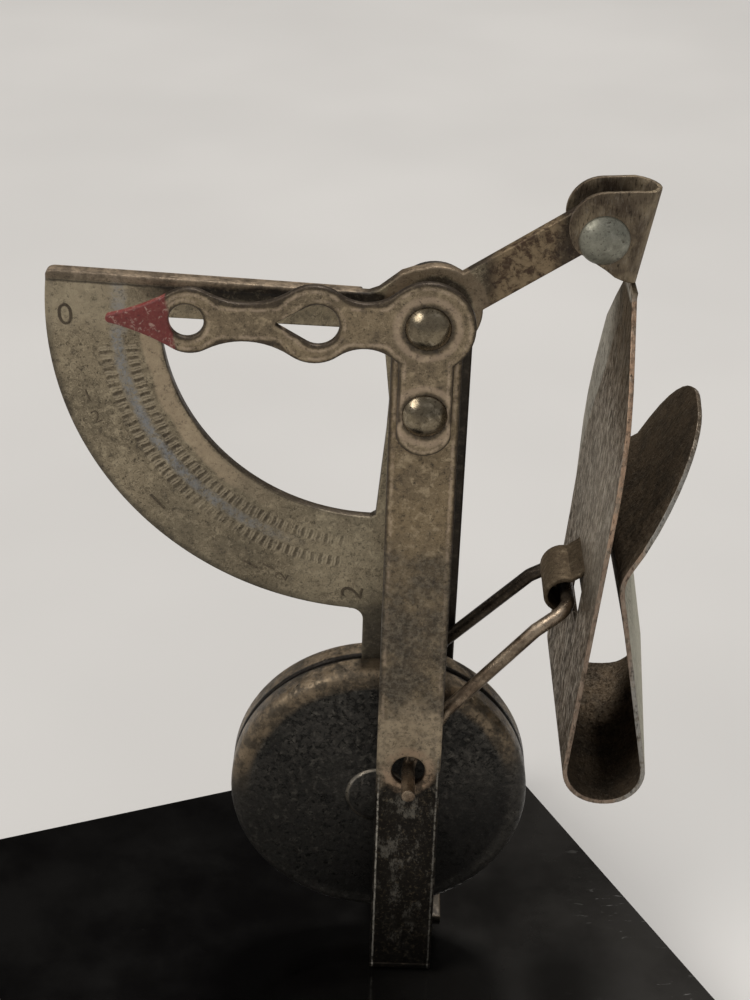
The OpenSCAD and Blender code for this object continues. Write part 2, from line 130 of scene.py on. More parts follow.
def flatPlate(name, loops, thick, bevel, steps=2):
    # a filled flat curve with holes, given its thickness and a rounded edge; it lies in XY
    curve = bpy.data.curves.new(name, "CURVE")
    curve.dimensions = "2D"
    curve.fill_mode = "BOTH"
    for loop in loops:
        spline = curve.splines.new("POLY")
        spline.points.add(len(loop) - 1)
        for point, (x, y) in zip(spline.points, loop):
            point.co = (x, y, 0, 1)
        spline.use_cyclic_u = True
    curve.extrude = thick / 2 - bevel
    curve.bevel_depth = bevel
    curve.bevel_resolution = steps
    curve.offset = -bevel
    return curveMesh(name, curve)


def sheetGrid(cols, rows, place, skip=None):
    # a grid whose points are moved to place(column, row); skip(column, row) leaves a face out
    work = bmesh.new()
    bmesh.ops.create_grid(work, x_segments=cols, y_segments=rows, size=1.0)
    cells = {}
    for vert in work.verts:
        cells[vert] = (round((vert.co.x + 1) / 2 * cols), round((vert.co.y + 1) / 2 * rows))
    gone = []
    if skip:
        for face in work.faces:
            corners = [cells[vert] for vert in face.verts]
            if skip(min(col for col, row in corners), min(row for col, row in corners)):
                gone.append(face)
    for vert, (col, row) in cells.items():
        vert.co = place(col, row)
    if gone:
        bmesh.ops.delete(work, geom=gone, context="FACES")
    weld(work)
    return asMesh(work, "sheet")


def makePiece(name, meshes, material, body, nodes=(), sharp=32):
    work = bmesh.new()
    for mesh in meshes:
        work.from_mesh(mesh)
    bmesh.ops.scale(work, vec=(mm, mm, mm), verts=work.verts)
    joined = asMesh(work, name)
    joined.materials.append(material)
    joined.shade_smooth()
    joined.set_sharp_from_angle(angle=math.radians(sharp))
    piece = addObject(name, joined)
    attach(piece, body)
    if nodes:
        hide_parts(*nodes)
    return piece


def thicken(piece, thick, rounding):
    solid = piece.modifiers.new("thickness", "SOLIDIFY")
    solid.thickness = thick * mm
    solid.offset = 0.0
    edge = piece.modifiers.new("edge", "BEVEL")
    edge.width = rounding * mm
    edge.segments = 2
    edge.limit_method = "ANGLE"
    edge.angle_limit = math.radians(50)


# finishes: t holds a material's nodes and what has been painted so far
def startMaterial(name):
    material = bpy.data.materials.new(name)
    material.use_nodes = True
    nodes, links = material.node_tree.nodes, material.node_tree.links
    nodes.clear()
    output = nodes.new("ShaderNodeOutputMaterial")
    shader = nodes.new("ShaderNodeBsdfPrincipled")
    links.new(shader.outputs[0], output.inputs[0])
    coords = nodes.new("ShaderNodeTexCoord")
    ruler = nodes.new("ShaderNodeMapping")
    ruler.inputs["Scale"].default_value = (1 / mm, 1 / mm, 1 / mm)  # patterns are sized in millimetres
    links.new(coords.outputs["Object"], ruler.inputs["Vector"])
    split = nodes.new("ShaderNodeSeparateXYZ")
    links.new(ruler.outputs[0], split.inputs[0])

    def plug(socket, value):
        if isinstance(value, tuple):
            socket.default_value = (*value, 1)
        elif isinstance(value, (int, float)):
            socket.default_value = value
        else:
            links.new(value, socket)

    def noise(scale, detail=4.0, rough=0.55, twist=0.0, stretch=None):
        node = nodes.new("ShaderNodeTexNoise")
        for key, value in (("Scale", scale), ("Detail", detail), ("Roughness", rough), ("Distortion", twist)):
            node.inputs[key].default_value = value
        vector = ruler.outputs[0]
        if stretch:
            pull = nodes.new("ShaderNodeMapping")
            pull.inputs["Scale"].default_value = stretch
            links.new(vector, pull.inputs["Vector"])
            vector = pull.outputs[0]
        links.new(vector, node.inputs["Vector"])
        return node.outputs["Fac"]

    def ramp(value, low, high, outLow=0.0, outHigh=1.0):
        node = nodes.new("ShaderNodeMapRange")
        node.interpolation_type = "SMOOTHSTEP"
        for key, number in (("From Min", low), ("From Max", high), ("To Min", outLow), ("To Max", outHigh)):
            node.inputs[key].default_value = number
        links.new(value, node.inputs["Value"])
        return node.outputs["Result"]

    def give(name, value):
        plug(shader.inputs[name], value)

    def calc(how, *values):
        node = nodes.new("ShaderNodeMath")
        node.operation = how
        for socket, value in zip(node.inputs, values):
            plug(socket, value)
        return node.outputs[0]

    def times(first, *others):
        for other in others:
            first = calc("MULTIPLY", first, other)
        return first

    def plus(a, b):
        return calc("ADD", a, b)

    def minus(a, b):
        return calc("SUBTRACT", a, b)

    def mix(share, a, b):
        node = nodes.new("ShaderNodeMix")
        node.data_type = "RGBA"
        plug(node.inputs["Factor"], share)
        plug(node.inputs[6], a)
        plug(node.inputs[7], b)
        return node.outputs[2]

    def facing(which):
        geometry = nodes.new("ShaderNodeNewGeometry")
        parts = nodes.new("ShaderNodeSeparateXYZ")
        links.new(geometry.outputs[which], parts.inputs[0])
        return parts.outputs

    def bump(height, strength, depth, normal=None):
        node = nodes.new("ShaderNodeBump")
        node.inputs["Strength"].default_value = strength
        node.inputs["Distance"].default_value = depth * mm
        links.new(height, node.inputs["Height"])
        if normal:
            links.new(normal, node.inputs["Normal"])
        links.new(node.outputs[0], shader.inputs["Normal"])

    tools = SimpleNamespace(nodes=nodes, links=links, give=give, noise=noise, ramp=ramp, calc=calc,
                            times=times, plus=plus, minus=minus, mix=mix, facing=facing, bump=bump,
                            x=split.outputs[0], y=split.outputs[1], z=split.outputs[2])

    def lay(tone, *masks):
        # a tone over what is painted so far, as strong as the masks multiplied together
        tools.colour = mix(times(*masks), tools.colour, tone)

    tools.lay = lay
    return material, tools


def invert(t, value):
    return t.minus(1.0, value)


def band(t, value, low, high, soft):
    return t.times(t.ramp(value, low - soft, low + soft), t.ramp(value, high + soft, high - soft))


def wavy(t, value, scale, amount):
    return t.plus(value, t.times(t.minus(t.noise(scale, 5, 0.65), 0.5), amount))


def fromPoint(t, x, z):
    # distance from a point of the front face, and how far that is across and up
    across, up = t.minus(t.x, x), t.minus(t.z, z)
    return t.calc("SQRT", t.plus(t.times(across, across), t.times(up, up))), across, up


def spot(t, x, z, low, high, soft):
    # a ring (or disc) round a point
    return band(t, wavy(t, fromPoint(t, x, z)[0], 0.6, 0.8), low, high, soft)


def roundReach(t, x, z, r):
    # how far inside a round outline a point lies, in mm
    return t.minus(r, fromPoint(t, x, z)[0])


def barReach(t, value, centre, half):
    return t.minus(half, t.calc("ABSOLUTE", t.minus(value, centre)))


rim = {"paleTone": (0.56, 0.43, 0.31), "dark": (0.045, 0.032, 0.021), "lineFrom": 0.45, "lineTo": 0.75}


def sheetRim(t, reach):
    # dark line along the outline, and a rubbed light line just inside it
    reach = wavy(t, reach, 0.9, 0.45)
    uneven = t.ramp(t.noise(0.7, 5, 0.7), 0.38, 0.58)
    t.lay(rim["paleTone"], band(t, reach, rim["lineFrom"], rim["lineTo"], 0.15), uneven, 0.6)
    t.lay(rim["dark"], t.ramp(reach, 0.42, 0.2), 0.8)


def roundedEdge(t, radius):
    # how far the surface turns within this radius of an edge, and the rounded normal
    bevel = t.nodes.new("ShaderNodeBevel")
    bevel.samples = 5
    bevel.inputs["Radius"].default_value = radius * mm
    geometry = t.nodes.new("ShaderNodeNewGeometry")
    along = t.nodes.new("ShaderNodeVectorMath")
    along.operation = "DOT_PRODUCT"
    t.links.new(bevel.outputs[0], along.inputs[0])
    t.links.new(geometry.outputs["Normal"], along.inputs[1])
    return invert(t, along.outputs["Value"]), bevel.outputs[0]


def patina(name, look, paint=None):
    # mottled metal with pits, worn edges, and grime with painted shade in the nooks; paint adds what one
    # piece has
    material, t = startMaterial(name)
    size, grain = look["mottleSize"], look.get("grain")
    patches = t.noise(look["patchSize"], 3)
    mottle = t.noise(size, 8, 0.68, 0.4, grain)
    pits = t.noise(size * 2.7, 6, 0.6, 0.0, grain)
    scuffs = t.noise(0.5, 5, 0.6)
    t.colour = t.mix(t.ramp(patches, 0.4, 0.62), look["base"], look["second"])
    t.lay(look["light"], t.ramp(mottle, 0.5, 0.68))
    dark = t.times(t.ramp(mottle, 0.48, 0.3), look["oxideShare"])
    t.lay(look["oxide"], dark)
    # fine wandering lines, where one bloom of tarnish meets the next
    level = t.calc("FRACT", t.times(t.noise(size * 0.9, 3, 0.5, 0.3, grain), 9.0))
    bloom = t.times(band(t, level, 0.42, 0.55, 0.07), look["bloomShare"])
    t.lay(look["light"], bloom)
    t.lay(look["oxide"], band(t, level, 0.64, 0.72, 0.06), look["bloomShare"])
    t.lay(look["oxide"], t.ramp(pits, 0.4, 0.32), look["pitShare"])
    t.relief = t.plus(t.times(mottle, 0.6), t.times(pits, 0.5))
    t.relief = t.plus(t.relief, t.times(bloom, 0.25))
    t.metal = t.ramp(dark, 0.0, 1.0, look["metal"], look["metal"] * 0.5)
    t.rough = t.ramp(mottle, 0.3, 0.7, look["rough"] + 0.14, look["rough"] - 0.1)
    if look["rimDark"] > 0:  # dark tarnish on the cut sides of the sheet
        cutSide = t.ramp(t.calc("ABSOLUTE", t.facing("True Normal")[1]), 0.93, 0.6)
        t.lay(look["oxide"], cutSide, look["rimDark"])
    if paint:
        paint(t)
    # fine speckle over everything, darker pin marks and lighter rubbed grains
    specks = t.noise(look["speckSize"], 5, 0.75, 0.0, grain)
    t.lay(look["grimeAndShade"], t.ramp(specks, 0.47, 0.34), look["speckShare"])
    brighter = t.mix(0.5, t.colour, look["light"])
    t.lay(brighter, t.ramp(specks, 0.53, 0.66), look["speckShare"] * 0.7)
    turn, rounded = roundedEdge(t, look["edgeRadius"])
    worn = t.times(t.ramp(turn, 0.02, 0.2), t.ramp(scuffs, 0.34, 0.54), look["edgeShare"])
    t.lay(look["worn"], worn)
    # painted shade from ambient occlusion: darker where the surface is hemmed in, standing also for grime in
    # the nooks
    nookShade = t.nodes.new("ShaderNodeAmbientOcclusion")
    nookShade.samples = 6
    nookShade.inputs["Distance"].default_value = look["nookReach"] * mm
    t.lay(look["grimeAndShade"], t.ramp(nookShade.outputs["AO"], 0.72, 0.2), look["nookShare"])
    t.give("Base Color", t.colour)
    t.give("Roughness", t.minus(t.rough, t.times(worn, 0.12)))
    t.give("Metallic", t.metal)
    t.give("Specular Tint", look.get("glance", (1, 1, 1)))
    t.bump(t.relief, look["bump"], 0.12, rounded)
    return material


brassLook = {
    "base": (0.25, 0.186, 0.107), "second": (0.175, 0.132, 0.082), "light": (0.4, 0.315, 0.2),
    "oxide": (0.045, 0.032, 0.02), "worn": (0.56, 0.43, 0.31), "grimeAndShade": (0.014, 0.01, 0.007),
    "patchSize": 0.11, "mottleSize": 0.85, "oxideShare": 0.75, "pitShare": 0.75, "bloomShare": 0.45,
    "edgeRadius": 0.3, "edgeShare": 0.5, "nookReach": 3.0, "nookShare": 0.85,
    "rimDark": 0.0, "rough": 0.45, "metal": 0.6, "bump": 0.5, "speckSize": 2.1, "speckShare": 0.5,
}
plateLook = dict(brassLook, rimDark=0.9, edgeShare=0.04)
# a darkened copy of the brass, used as painted shade for parts lying in shade; the stamped numbers also start
# from it
darkLook = dict(brassLook, base=(0.04, 0.032, 0.022), second=(0.026, 0.021, 0.016), light=(0.07, 0.056, 0.04))

# straps of the A-frame
straps = {
    "thick": 1.0, "top": 5.6, "foot": 9.5, "bend": 0.8, "footEnd": 0.9, "holeHeight": 42.5, "holeR": 2.1,
    "edge": 0.22, "frontWide": 8.0, "backWide": 9.5, "backSide": 0.8, "backDrop": 1.45,
    "greyFrom": 77, "greyTo": 71, "tanLow": 42.5, "tanHigh": 51.5, "lowDarkFrom": 43.8, "lowDarkTo": 40.2,
    "greyDark": (0.045, 0.036, 0.026), "greyLight": (0.15, 0.128, 0.095), "tan": (0.4, 0.32, 0.215),
    "lowDark": (0.016, 0.014, 0.012), "fleck": (0.15, 0.138, 0.115), "paleTone": (0.62, 0.58, 0.5),
    "halo": (0.42, 0.3, 0.2),
}
lean = math.degrees(math.atan((straps["foot"] - straps["top"]) / (pivot.z - slabTop)))


def paintStrap(t):
    s = straps
    half = s["frontWide"] / 2
    sheetRim(t, barReach(t, t.x, 0, half))
    height = wavy(t, t.z, 0.35, 9.0)
    blotch = t.ramp(t.noise(0.28, 5, 0.62), 0.36, 0.6, 0.35, 0.85)
    grey = t.mix(t.ramp(t.noise(1.6, 7, 0.75), 0.42, 0.6), s["greyDark"], s["greyLight"])
    t.lay(grey, t.ramp(height, s["greyFrom"], s["greyTo"]), blotch)
    patchy = t.ramp(t.noise(0.9, 7, 0.75), 0.38, 0.58, 0.35, 0.95)
    t.lay(s["tan"], band(t, height, s["tanLow"], s["tanHigh"], 2.0), patchy)
    # the strap is painted near black and more metallic below the hole, the dark reaching higher on the right
    slanted = t.plus(wavy(t, t.z, 0.4, 7.0), t.times(t.x, -0.5))
    lowDark = t.ramp(slanted, s["lowDarkFrom"], s["lowDarkTo"])
    t.lay(s["lowDark"], lowDark, 0.97)
    flecks = t.ramp(t.noise(0.55, 9, 0.8, 0.0, (1.0, 1.0, 0.55)), 0.5, 0.6)
    groups = t.ramp(t.noise(0.2, 3, 0.6), 0.42, 0.54, 0.12, 1.0)
    t.lay(s["fleck"], flecks, groups, lowDark, t.ramp(t.z, 8, 20, 0.3, 1.0), 0.9)
    # painted highlight: thin light lines just inside each side edge, stronger on the left, where the rounded
    # edges catch the light
    side = wavy(t, t.calc("ABSOLUTE", t.x), 0.9, 0.2)
    broken = t.ramp(t.noise(1.3, 6, 0.75), 0.4, 0.52, 0.15, 1.0)
    line = t.times(band(t, side, half - 0.45, half - 0.25, 0.07), t.ramp(t.x, 1.0, -1.0, 0.4, 1.0))
    t.lay(s["paleTone"], line, lowDark, broken, 0.95)
    worn = t.ramp(t.noise(0.8, 6, 0.7), 0.38, 0.56, 0.2, 1.0)
    t.lay(s["halo"], spot(t, 0, s["holeHeight"], 2.0, 3.3, 0.5), worn, 0.85)
    t.metal = t.plus(t.metal, t.times(lowDark, t.minus(0.92, t.metal)))
    t.rough = t.plus(t.rough, t.times(lowDark, 0.05))


strapBrass = patina("strapBrass", plateLook, paintStrap)
# painted shade: the back strap faces into the shade between the two straps, so it takes the darkened brass
shadedBackBrass = patina("shadedBackBrass", dict(darkLook, edgeShare=0.9, worn=(0.33, 0.25, 0.16)))


def strapFrame(back):
    frontFrame = shift(pivot.x, -straps["top"], pivot.z) @ turned(-lean, "X")
    return mirrorY @ frontFrame if back else frontFrame


def makeFoot(width, side, bottom, bendZ, slope):
    # the leg's end swung round the bend, then run inwards
    s = straps
    work = bmesh.new()
    bmesh.ops.create_grid(work, x_segments=1, y_segments=1, size=0.5)
    bmesh.ops.scale(work, vec=(width, s["thick"], 1), verts=work.verts)
    work.transform(strapFrame(False) @ shift(side, s["thick"] / 2, bottom))
    inward = (s["bend"] + s["thick"] + (bendZ - pivot.z) * math.sin(math.radians(lean))) / slope
    heel = Vector((0, inward - s["top"], bendZ))
    swung = bmesh.ops.spin(work, geom=work.faces[:], cent=heel, axis=(1, 0, 0),
                           angle=math.radians(90 + lean), steps=8)
    last = [part for part in swung["geom_last"] if isinstance(part, bmesh.types.BMFace)]
    run = bmesh.ops.extrude_face_region(work, geom=last)
    ends = [part for part in run["geom"] if isinstance(part, bmesh.types.BMVert)]
    bmesh.ops.translate(work, vec=(0, -s["footEnd"] - heel.y, 0), verts=ends)
    weld(work)
    long = [edge for edge in work.edges if edge.is_manifold and edge.calc_face_angle(0) > 1.0]
    bmesh.ops.bevel(work, geom=long, offset=0.15, offset_type="OFFSET", segments=2, profile=0.5,
                    affect="EDGES", material=-1)
    return work


def makeStrap(name, node, width, side, topDrop, material, back):
    s = straps
    slope = math.cos(math.radians(lean))
    bendZ = slabTop + s["bend"] + s["thick"]
    bottom = -(pivot.z - bendZ) / slope
    outline = arc(side, -topDrop, width / 2, 180, 0, 24)
    outline += [(side + width / 2, bottom), (side - width / 2, bottom)]
    hole = circle(0, (s["holeHeight"] - pivot.z) / slope, s["holeR"], 32)
    leg = flatPlate(name, [outline, hole], s["thick"], s["edge"])
    moved(leg, strapFrame(back), shift(0, s["thick"] / 2, 0), standUp)
    work = makeFoot(width, side, bottom, bendZ, slope)
    if back:
        leg.flip_normals()
        work.transform(mirrorY)
        bmesh.ops.reverse_faces(work, faces=work.faces)
    foot = asMesh(work, name)
    makePiece(name, [leg, foot], material, "post", [node])


makeStrap("frontStrap", "front_strap", straps["frontWide"], 0.0, 0.0, strapBrass, False)
makeStrap("backStrap", "back_strap", straps["backWide"], straps["backSide"], straps["backDrop"],
          shadedBackBrass, True)
print("straps made")

# pointer
pointer = {
    "thick": 1.0, "edge": 0.2, "rounds": [(-35.1, 0.5), (-26.4, 3.8), (-12.6, 4.55), (0.0, 5.3)],
    "blends": [25, 9, 5], "necks": [2.65, 2.2], "eye": (-26.7, 1.95), "tear": (-12.2, 2.4),
    "tearTip": (-16.6, 0.2), "tailMid": -0.05, "tailHalf": 3.1, "tailR": 3.3, "tailEnd": 15.5,
    "rivets": [(0.0, 3.1), (-10.5, 3.0)],
    "redFrom": -28.3, "redTo": -28.7, "red": (0.21, 0.032, 0.026), "redDeep": (0.14, 0.022, 0.019),
    "chip": (0.46, 0.31, 0.25), "ringLight": (0.5, 0.38, 0.27), "domeFootShade": (0.035, 0.026, 0.018),
}


def pointerReach(t):
    # how far inside the pointer's outline a point lies, openings included
    p = pointer
    hub = roundReach(t, 0, pivot.z, p["rounds"][3][1])
    reach = t.calc("MAXIMUM", hub, roundReach(t, 0, pivot.z + p["tailR"] - p["tailEnd"], p["tailR"]))
    tail = t.calc("MINIMUM", barReach(t, t.x, 0, p["tailHalf"]), barReach(t, t.z, pivot.z - 6, 6.2))
    reach = t.calc("MAXIMUM", reach, tail)
    for (x, r), neck in zip((p["rounds"][2], p["rounds"][1]), p["necks"]):
        bar = t.calc("MINIMUM", barReach(t, t.z, pivot.z, neck), barReach(t, t.x, x + 6.5, 6.5))
        reach = t.calc("SMOOTH_MAX", reach, bar, 1.6)
        reach = t.calc("SMOOTH_MAX", reach, roundReach(t, x, pivot.z, r), 1.6)
    for x, r in (p["eye"], p["tear"], (-14.3, 1.2)):
        reach = t.calc("MINIMUM", reach, t.times(roundReach(t, x, pivot.z, r), -1.0))
    return reach


def paintPointer(t):
    p = pointer
    # round each rivet: a light ring further out, and painted shade with grime close round the foot of the
    # dome
    for drop, inner in p["rivets"]:
        t.lay(p["ringLight"], spot(t, 0, pivot.z + drop, inner, inner + 0.75, 0.25), 0.6)
        t.lay(p["domeFootShade"], spot(t, 0, pivot.z + drop, 0.0, inner - 0.15, 0.25), 0.75)
    sheetRim(t, pointerReach(t))
    edge = t.plus(wavy(t, t.x, 1.1, 1.1), t.times(t.minus(t.z, pivot.z), 0.16))
    red = t.ramp(edge, p["redFrom"], p["redTo"])
    t.lay(t.mix(t.noise(0.8, 4), p["red"], p["redDeep"]), red)
    t.lay(p["chip"], t.ramp(t.noise(1.7, 6, 0.68, 0.6), 0.56, 0.63), red, 0.7)
    t.relief = t.plus(t.relief, t.times(red, 0.8))
    t.metal = t.times(t.metal, invert(t, red))


pointerBrass = patina("pointerBrass", dict(
    plateLook, base=(0.27, 0.207, 0.127), second=(0.2, 0.154, 0.097), worn=(0.6, 0.45, 0.35)), paintPointer)


def necklace(rounds, blends):
    # upper outline of rounds on one line, joined by hollow arcs, and the angle that meets the last round
    outline, start = [], 180.0
    for (x, r), (nextX, nextR), blend in zip(rounds, rounds[1:], blends):
        gap = nextX - x
        along = ((r + blend) ** 2 - (nextR + blend) ** 2 + gap * gap) / (2 * gap)
        blendX, blendZ = x + along, math.sqrt((r + blend) ** 2 - along ** 2)
        outline += arc(x, 0, r, start, math.degrees(math.atan2(blendZ, along)), 10)
        fromTurn = math.degrees(math.atan2(-blendZ, -along))
        toTurn = math.degrees(math.atan2(-blendZ, gap - along))
        outline += arc(blendX, blendZ, blend, fromTurn, toTurn, 12)[1:-1]
        start = math.degrees(math.atan2(blendZ, along - gap))
    return outline, start


def makePointer():
    p = pointer
    upper, meet = necklace(p["rounds"], p["blends"])
    lower = [(x, -z) for x, z in reversed(upper)]
    hub = p["rounds"][-1][1]
    right = math.degrees(math.acos((p["tailMid"] + p["tailHalf"]) / hub))
    left = math.degrees(math.acos((p["tailMid"] - p["tailHalf"]) / hub))
    drop = p["tailR"] - p["tailEnd"]
    cut = math.degrees(math.acos(p["tailHalf"] / p["tailR"]))
    outline = upper + arc(0, 0, hub, meet, -right, 28)
    outline += arc(p["tailMid"], drop, p["tailR"], -cut, cut - 180, 16)
    outline += arc(0, 0, hub, -left, -meet, 6) + lower
    (eyeX, eyeR), (tearX, tearR), (tipX, tipR) = p["eye"], p["tear"], p["tearTip"]
    tear = arc(tearX, 0, tearR, -120, 120, 24) + arc(tipX, 0, tipR, 120, 240, 4)
    plate = flatPlate("pointer", [outline, circle(eyeX, 0, eyeR, 32), tear], p["thick"], p["edge"])
    moved(plate, strapFrame(False), shift(0, -p["thick"] / 2, 0), standUp)
    makePiece("pointerPlate", [plate], pointerBrass, "post", ["pointer_plate"])


makePointer()
print("pointer made")

# quadrant, its top fold and its stamped numbers
quadrant = {
    "thick": 1.5, "edge": 0.2, "x": -5.2, "z": 99.6, "outer": 38.1, "inner": 25.1, "topZ": 105.1,
    "slope": 2.4, "hub": (0.9, 101.7, 5.3), "armTurn": 33.5, "armTip": (18.85, 112.6, 3.3),
    "pinR": 1.58, "clipPinR": 1.33,
    "foldDeep": 2.1, "foldHigh": 1.2, "foldLong": 35.5, "foldEdge": 0.35, "numberSize": 3.8,
    "line": 30.15, "step": 1.9, "long": 1.3, "gap": 0.85,  # the two rows of scale marks
    "numbers": [("0", -41.0, 99.7, 1.0), ("1", -38.9, 89.6, 0.6), ("2", -38.0, 86.9, 0.6),
                ("1", -31.1, 75.7, 1.0), ("1", -20.0, 67.4, 0.8), ("1", -17.9, 67.2, 0.6),
                ("2", -16.3, 65.9, 0.6), ("2", -7.6, 63.9, 1.0)],
    "mark": (0.07, 0.052, 0.033), "markHalo": (0.5, 0.42, 0.3), "smear": (0.24, 0.25, 0.26),
    "paleTone": (0.5, 0.39, 0.26), "rim": (0.06, 0.05, 0.036), "low": (0.13, 0.11, 0.075),
    "foot": (0.4, 0.345, 0.235), "corner": (0.42, 0.35, 0.24), "neck": (0.03, 0.024, 0.017),
    "fold": (0.27, 0.205, 0.14), "foldDark": (0.13, 0.098, 0.066), "foldShadowLine": (0.035, 0.026, 0.018),
    "pointerShadow": (0.012, 0.009, 0.007), "arm": (0.26, 0.19, 0.11), "armSpot": (0.075, 0.045, 0.025),
    "armShadow": (0.035, 0.024, 0.016), "hubEdge": (0.24, 0.178, 0.115), "hubShadow": (0.03, 0.022, 0.015),
}


def paintBand(t):
    # scale marks, rubbed strips and clouds of tarnish on the scale band
    q = quadrant
    radius, across, up = fromPoint(t, q["x"], q["z"])
    turn = t.times(t.calc("ARCTAN2", up, across), 180 / math.pi)  # -180 left, -90 at the bottom
    onScale = band(t, turn, -173.5, -97, 0.6)
    onBand = t.times(t.ramp(t.x, 3.0, 2.0), t.ramp(t.y, -0.4, -0.6), t.ramp(t.z, 105, 104))
    wobble = wavy(t, radius, 1.2, 0.7)
    off = t.calc("ABSOLUTE", t.minus(wobble, q["line"]))
    wander = t.calc("DIVIDE", wavy(t, turn, 1.0, 1.1), q["step"])
    beat = t.calc("ABSOLUTE", t.minus(t.calc("FRACT", wander), 0.5))
    rows = band(t, off, q["gap"], q["gap"] + q["long"], 0.2)
    uneven = t.ramp(t.noise(0.45, 4, 0.6), 0.32, 0.55, 0.25, 1.0)
    marked = t.times(rows, uneven, onScale, onBand)
    dash = t.times(t.ramp(beat, 0.22, 0.1), marked)
    halo = t.times(band(t, beat, 0.26, 0.42, 0.06), marked)
    # pale strip along the inner curve, where the metal is rubbed
    paleTone = band(t, wavy(t, radius, 0.35, 1.8), q["inner"] + 0.2, q["inner"] + 2.2, 0.3)
    t.lay(q["paleTone"], paleTone, t.ramp(turn, -112, -136), onBand, 0.7)
    smear = t.times(band(t, wobble, q["line"] - 0.6, q["line"] + 0.6, 0.4), t.ramp(turn, -104, -125))
    smearTop = t.times(band(t, wavy(t, t.x, 0.9, 0.9), -35.7, -34.1, 0.4), t.ramp(t.z, 97, 99))
    smear = t.times(t.calc("MAXIMUM", smear, smearTop), onBand)
    smear = t.times(smear, t.ramp(t.noise(1.7, 6, 0.75, 0.5), 0.38, 0.58, 0.1, 0.85))
    t.lay(q["smear"], smear)
    t.lay(q["markHalo"], halo, 0.6)
    t.lay(q["mark"], dash, 0.8)
    t.relief = t.plus(t.minus(t.relief, t.times(dash, 1.6)), t.times(halo, 0.6))
    t.lay(q["rim"], t.ramp(wavy(t, radius, 0.3, 1.2), q["outer"] - 1.2, q["outer"]), onBand, 0.75)
    cloud = t.noise(0.35, 5, 0.6)
    t.lay(q["low"], band(t, turn, -137, -112, 7), onBand, t.ramp(cloud, 0.35, 0.6, 0.1, 0.4))
    t.lay(q["foot"], t.ramp(turn, -112, -104), onBand, t.ramp(cloud, 0.35, 0.6, 0.1, 0.35))
    # painted shade with some grime on the plate along the strap's left edge, low down
    t.lay(q["neck"], t.ramp(wavy(t, t.x, 0.4, 1.2), -7.6, -5.4), t.ramp(t.z, 66, 58), 0.8)
    corner = t.times(t.ramp(t.z, 96, 100), t.ramp(t.x, -33, -36), onBand)
    t.lay(q["corner"], corner, t.ramp(t.noise(0.5, 5, 0.6), 0.35, 0.6, 0.1, 0.6))
    return onBand, smear


def paintQuadrant(t):
    q = quadrant
    onBand, smear = paintBand(t)
    # the fold along the top is browner, with a painted shadow line under it
    slope = t.times(t.plus(t.x, q["outer"] - q["x"]), math.tan(math.radians(q["slope"])))
    fromTop = t.minus(t.minus(q["topZ"], slope), t.z)
    onBar = t.times(t.ramp(t.x, -6.5, -8.0), t.ramp(t.z, 101, 102))
    fold = t.mix(t.ramp(t.noise(0.6, 6, 0.7), 0.4, 0.6), q["fold"], q["foldDark"])
    t.lay(fold, t.ramp(wavy(t, fromTop, 0.8, 0.3), 0.95, 0.8), onBar, 0.9)
    t.lay(q["foldShadowLine"], band(t, wavy(t, fromTop, 0.8, 0.3), 0.9, 1.2, 0.12), onBar, 0.8)
    # painted shadow under the fold, cast behind the pointer
    pointerShadow = band(t, wavy(t, t.z, 0.25, 1.3), 102.0, 103.7, 0.35)
    t.lay(q["pointerShadow"], pointerShadow, onBand, t.ramp(t.x, -34, -28), 0.93)
    # arm: tan with brown spots, with painted shadow where it leaves the hub and where it enters the bracket
    arm = t.mix(t.ramp(t.noise(0.95, 7, 0.7, 0.4), 0.44, 0.6), q["arm"], q["armSpot"])
    atClip = t.ramp(wavy(t, t.x, 0.4, 3.0), 13.2, 14.8)
    atHub = t.ramp(wavy(t, t.x, 0.4, 2.0), 8.2, 6.2)
    arm = t.mix(t.times(t.calc("MAXIMUM", atClip, atHub), 0.85), arm, q["armShadow"])
    t.lay(arm, t.ramp(t.x, 5.0, 7.0))
    hubX, hubZ, hubR = q["hub"]
    t.lay(q["hubEdge"], spot(t, hubX, hubZ, hubR - 1.0, hubR + 0.7, 0.2), 0.7)
    # painted shadow on the frame's hub, in the gap behind the pointer's hub
    t.lay(q["hubShadow"], spot(t, hubX, hubZ, 0.0, hubR - 1.1, 0.25), 0.85)
    t.metal = t.times(t.metal, invert(t, t.times(smear, 0.7)))


quadrantBrass = patina("quadrantBrass", dict(
    plateLook, base=(0.215, 0.176, 0.115), second=(0.3, 0.245, 0.16), light=(0.42, 0.35, 0.235),
    bloomShare=0.8, rimDark=0.95), paintQuadrant)
stampedBrass = patina("stampedBrass", dict(
    darkLook, base=(0.15, 0.118, 0.076), second=(0.09, 0.07, 0.046), edgeShare=1.0, worn=(0.36, 0.29, 0.2),
    edgeRadius=0.12))


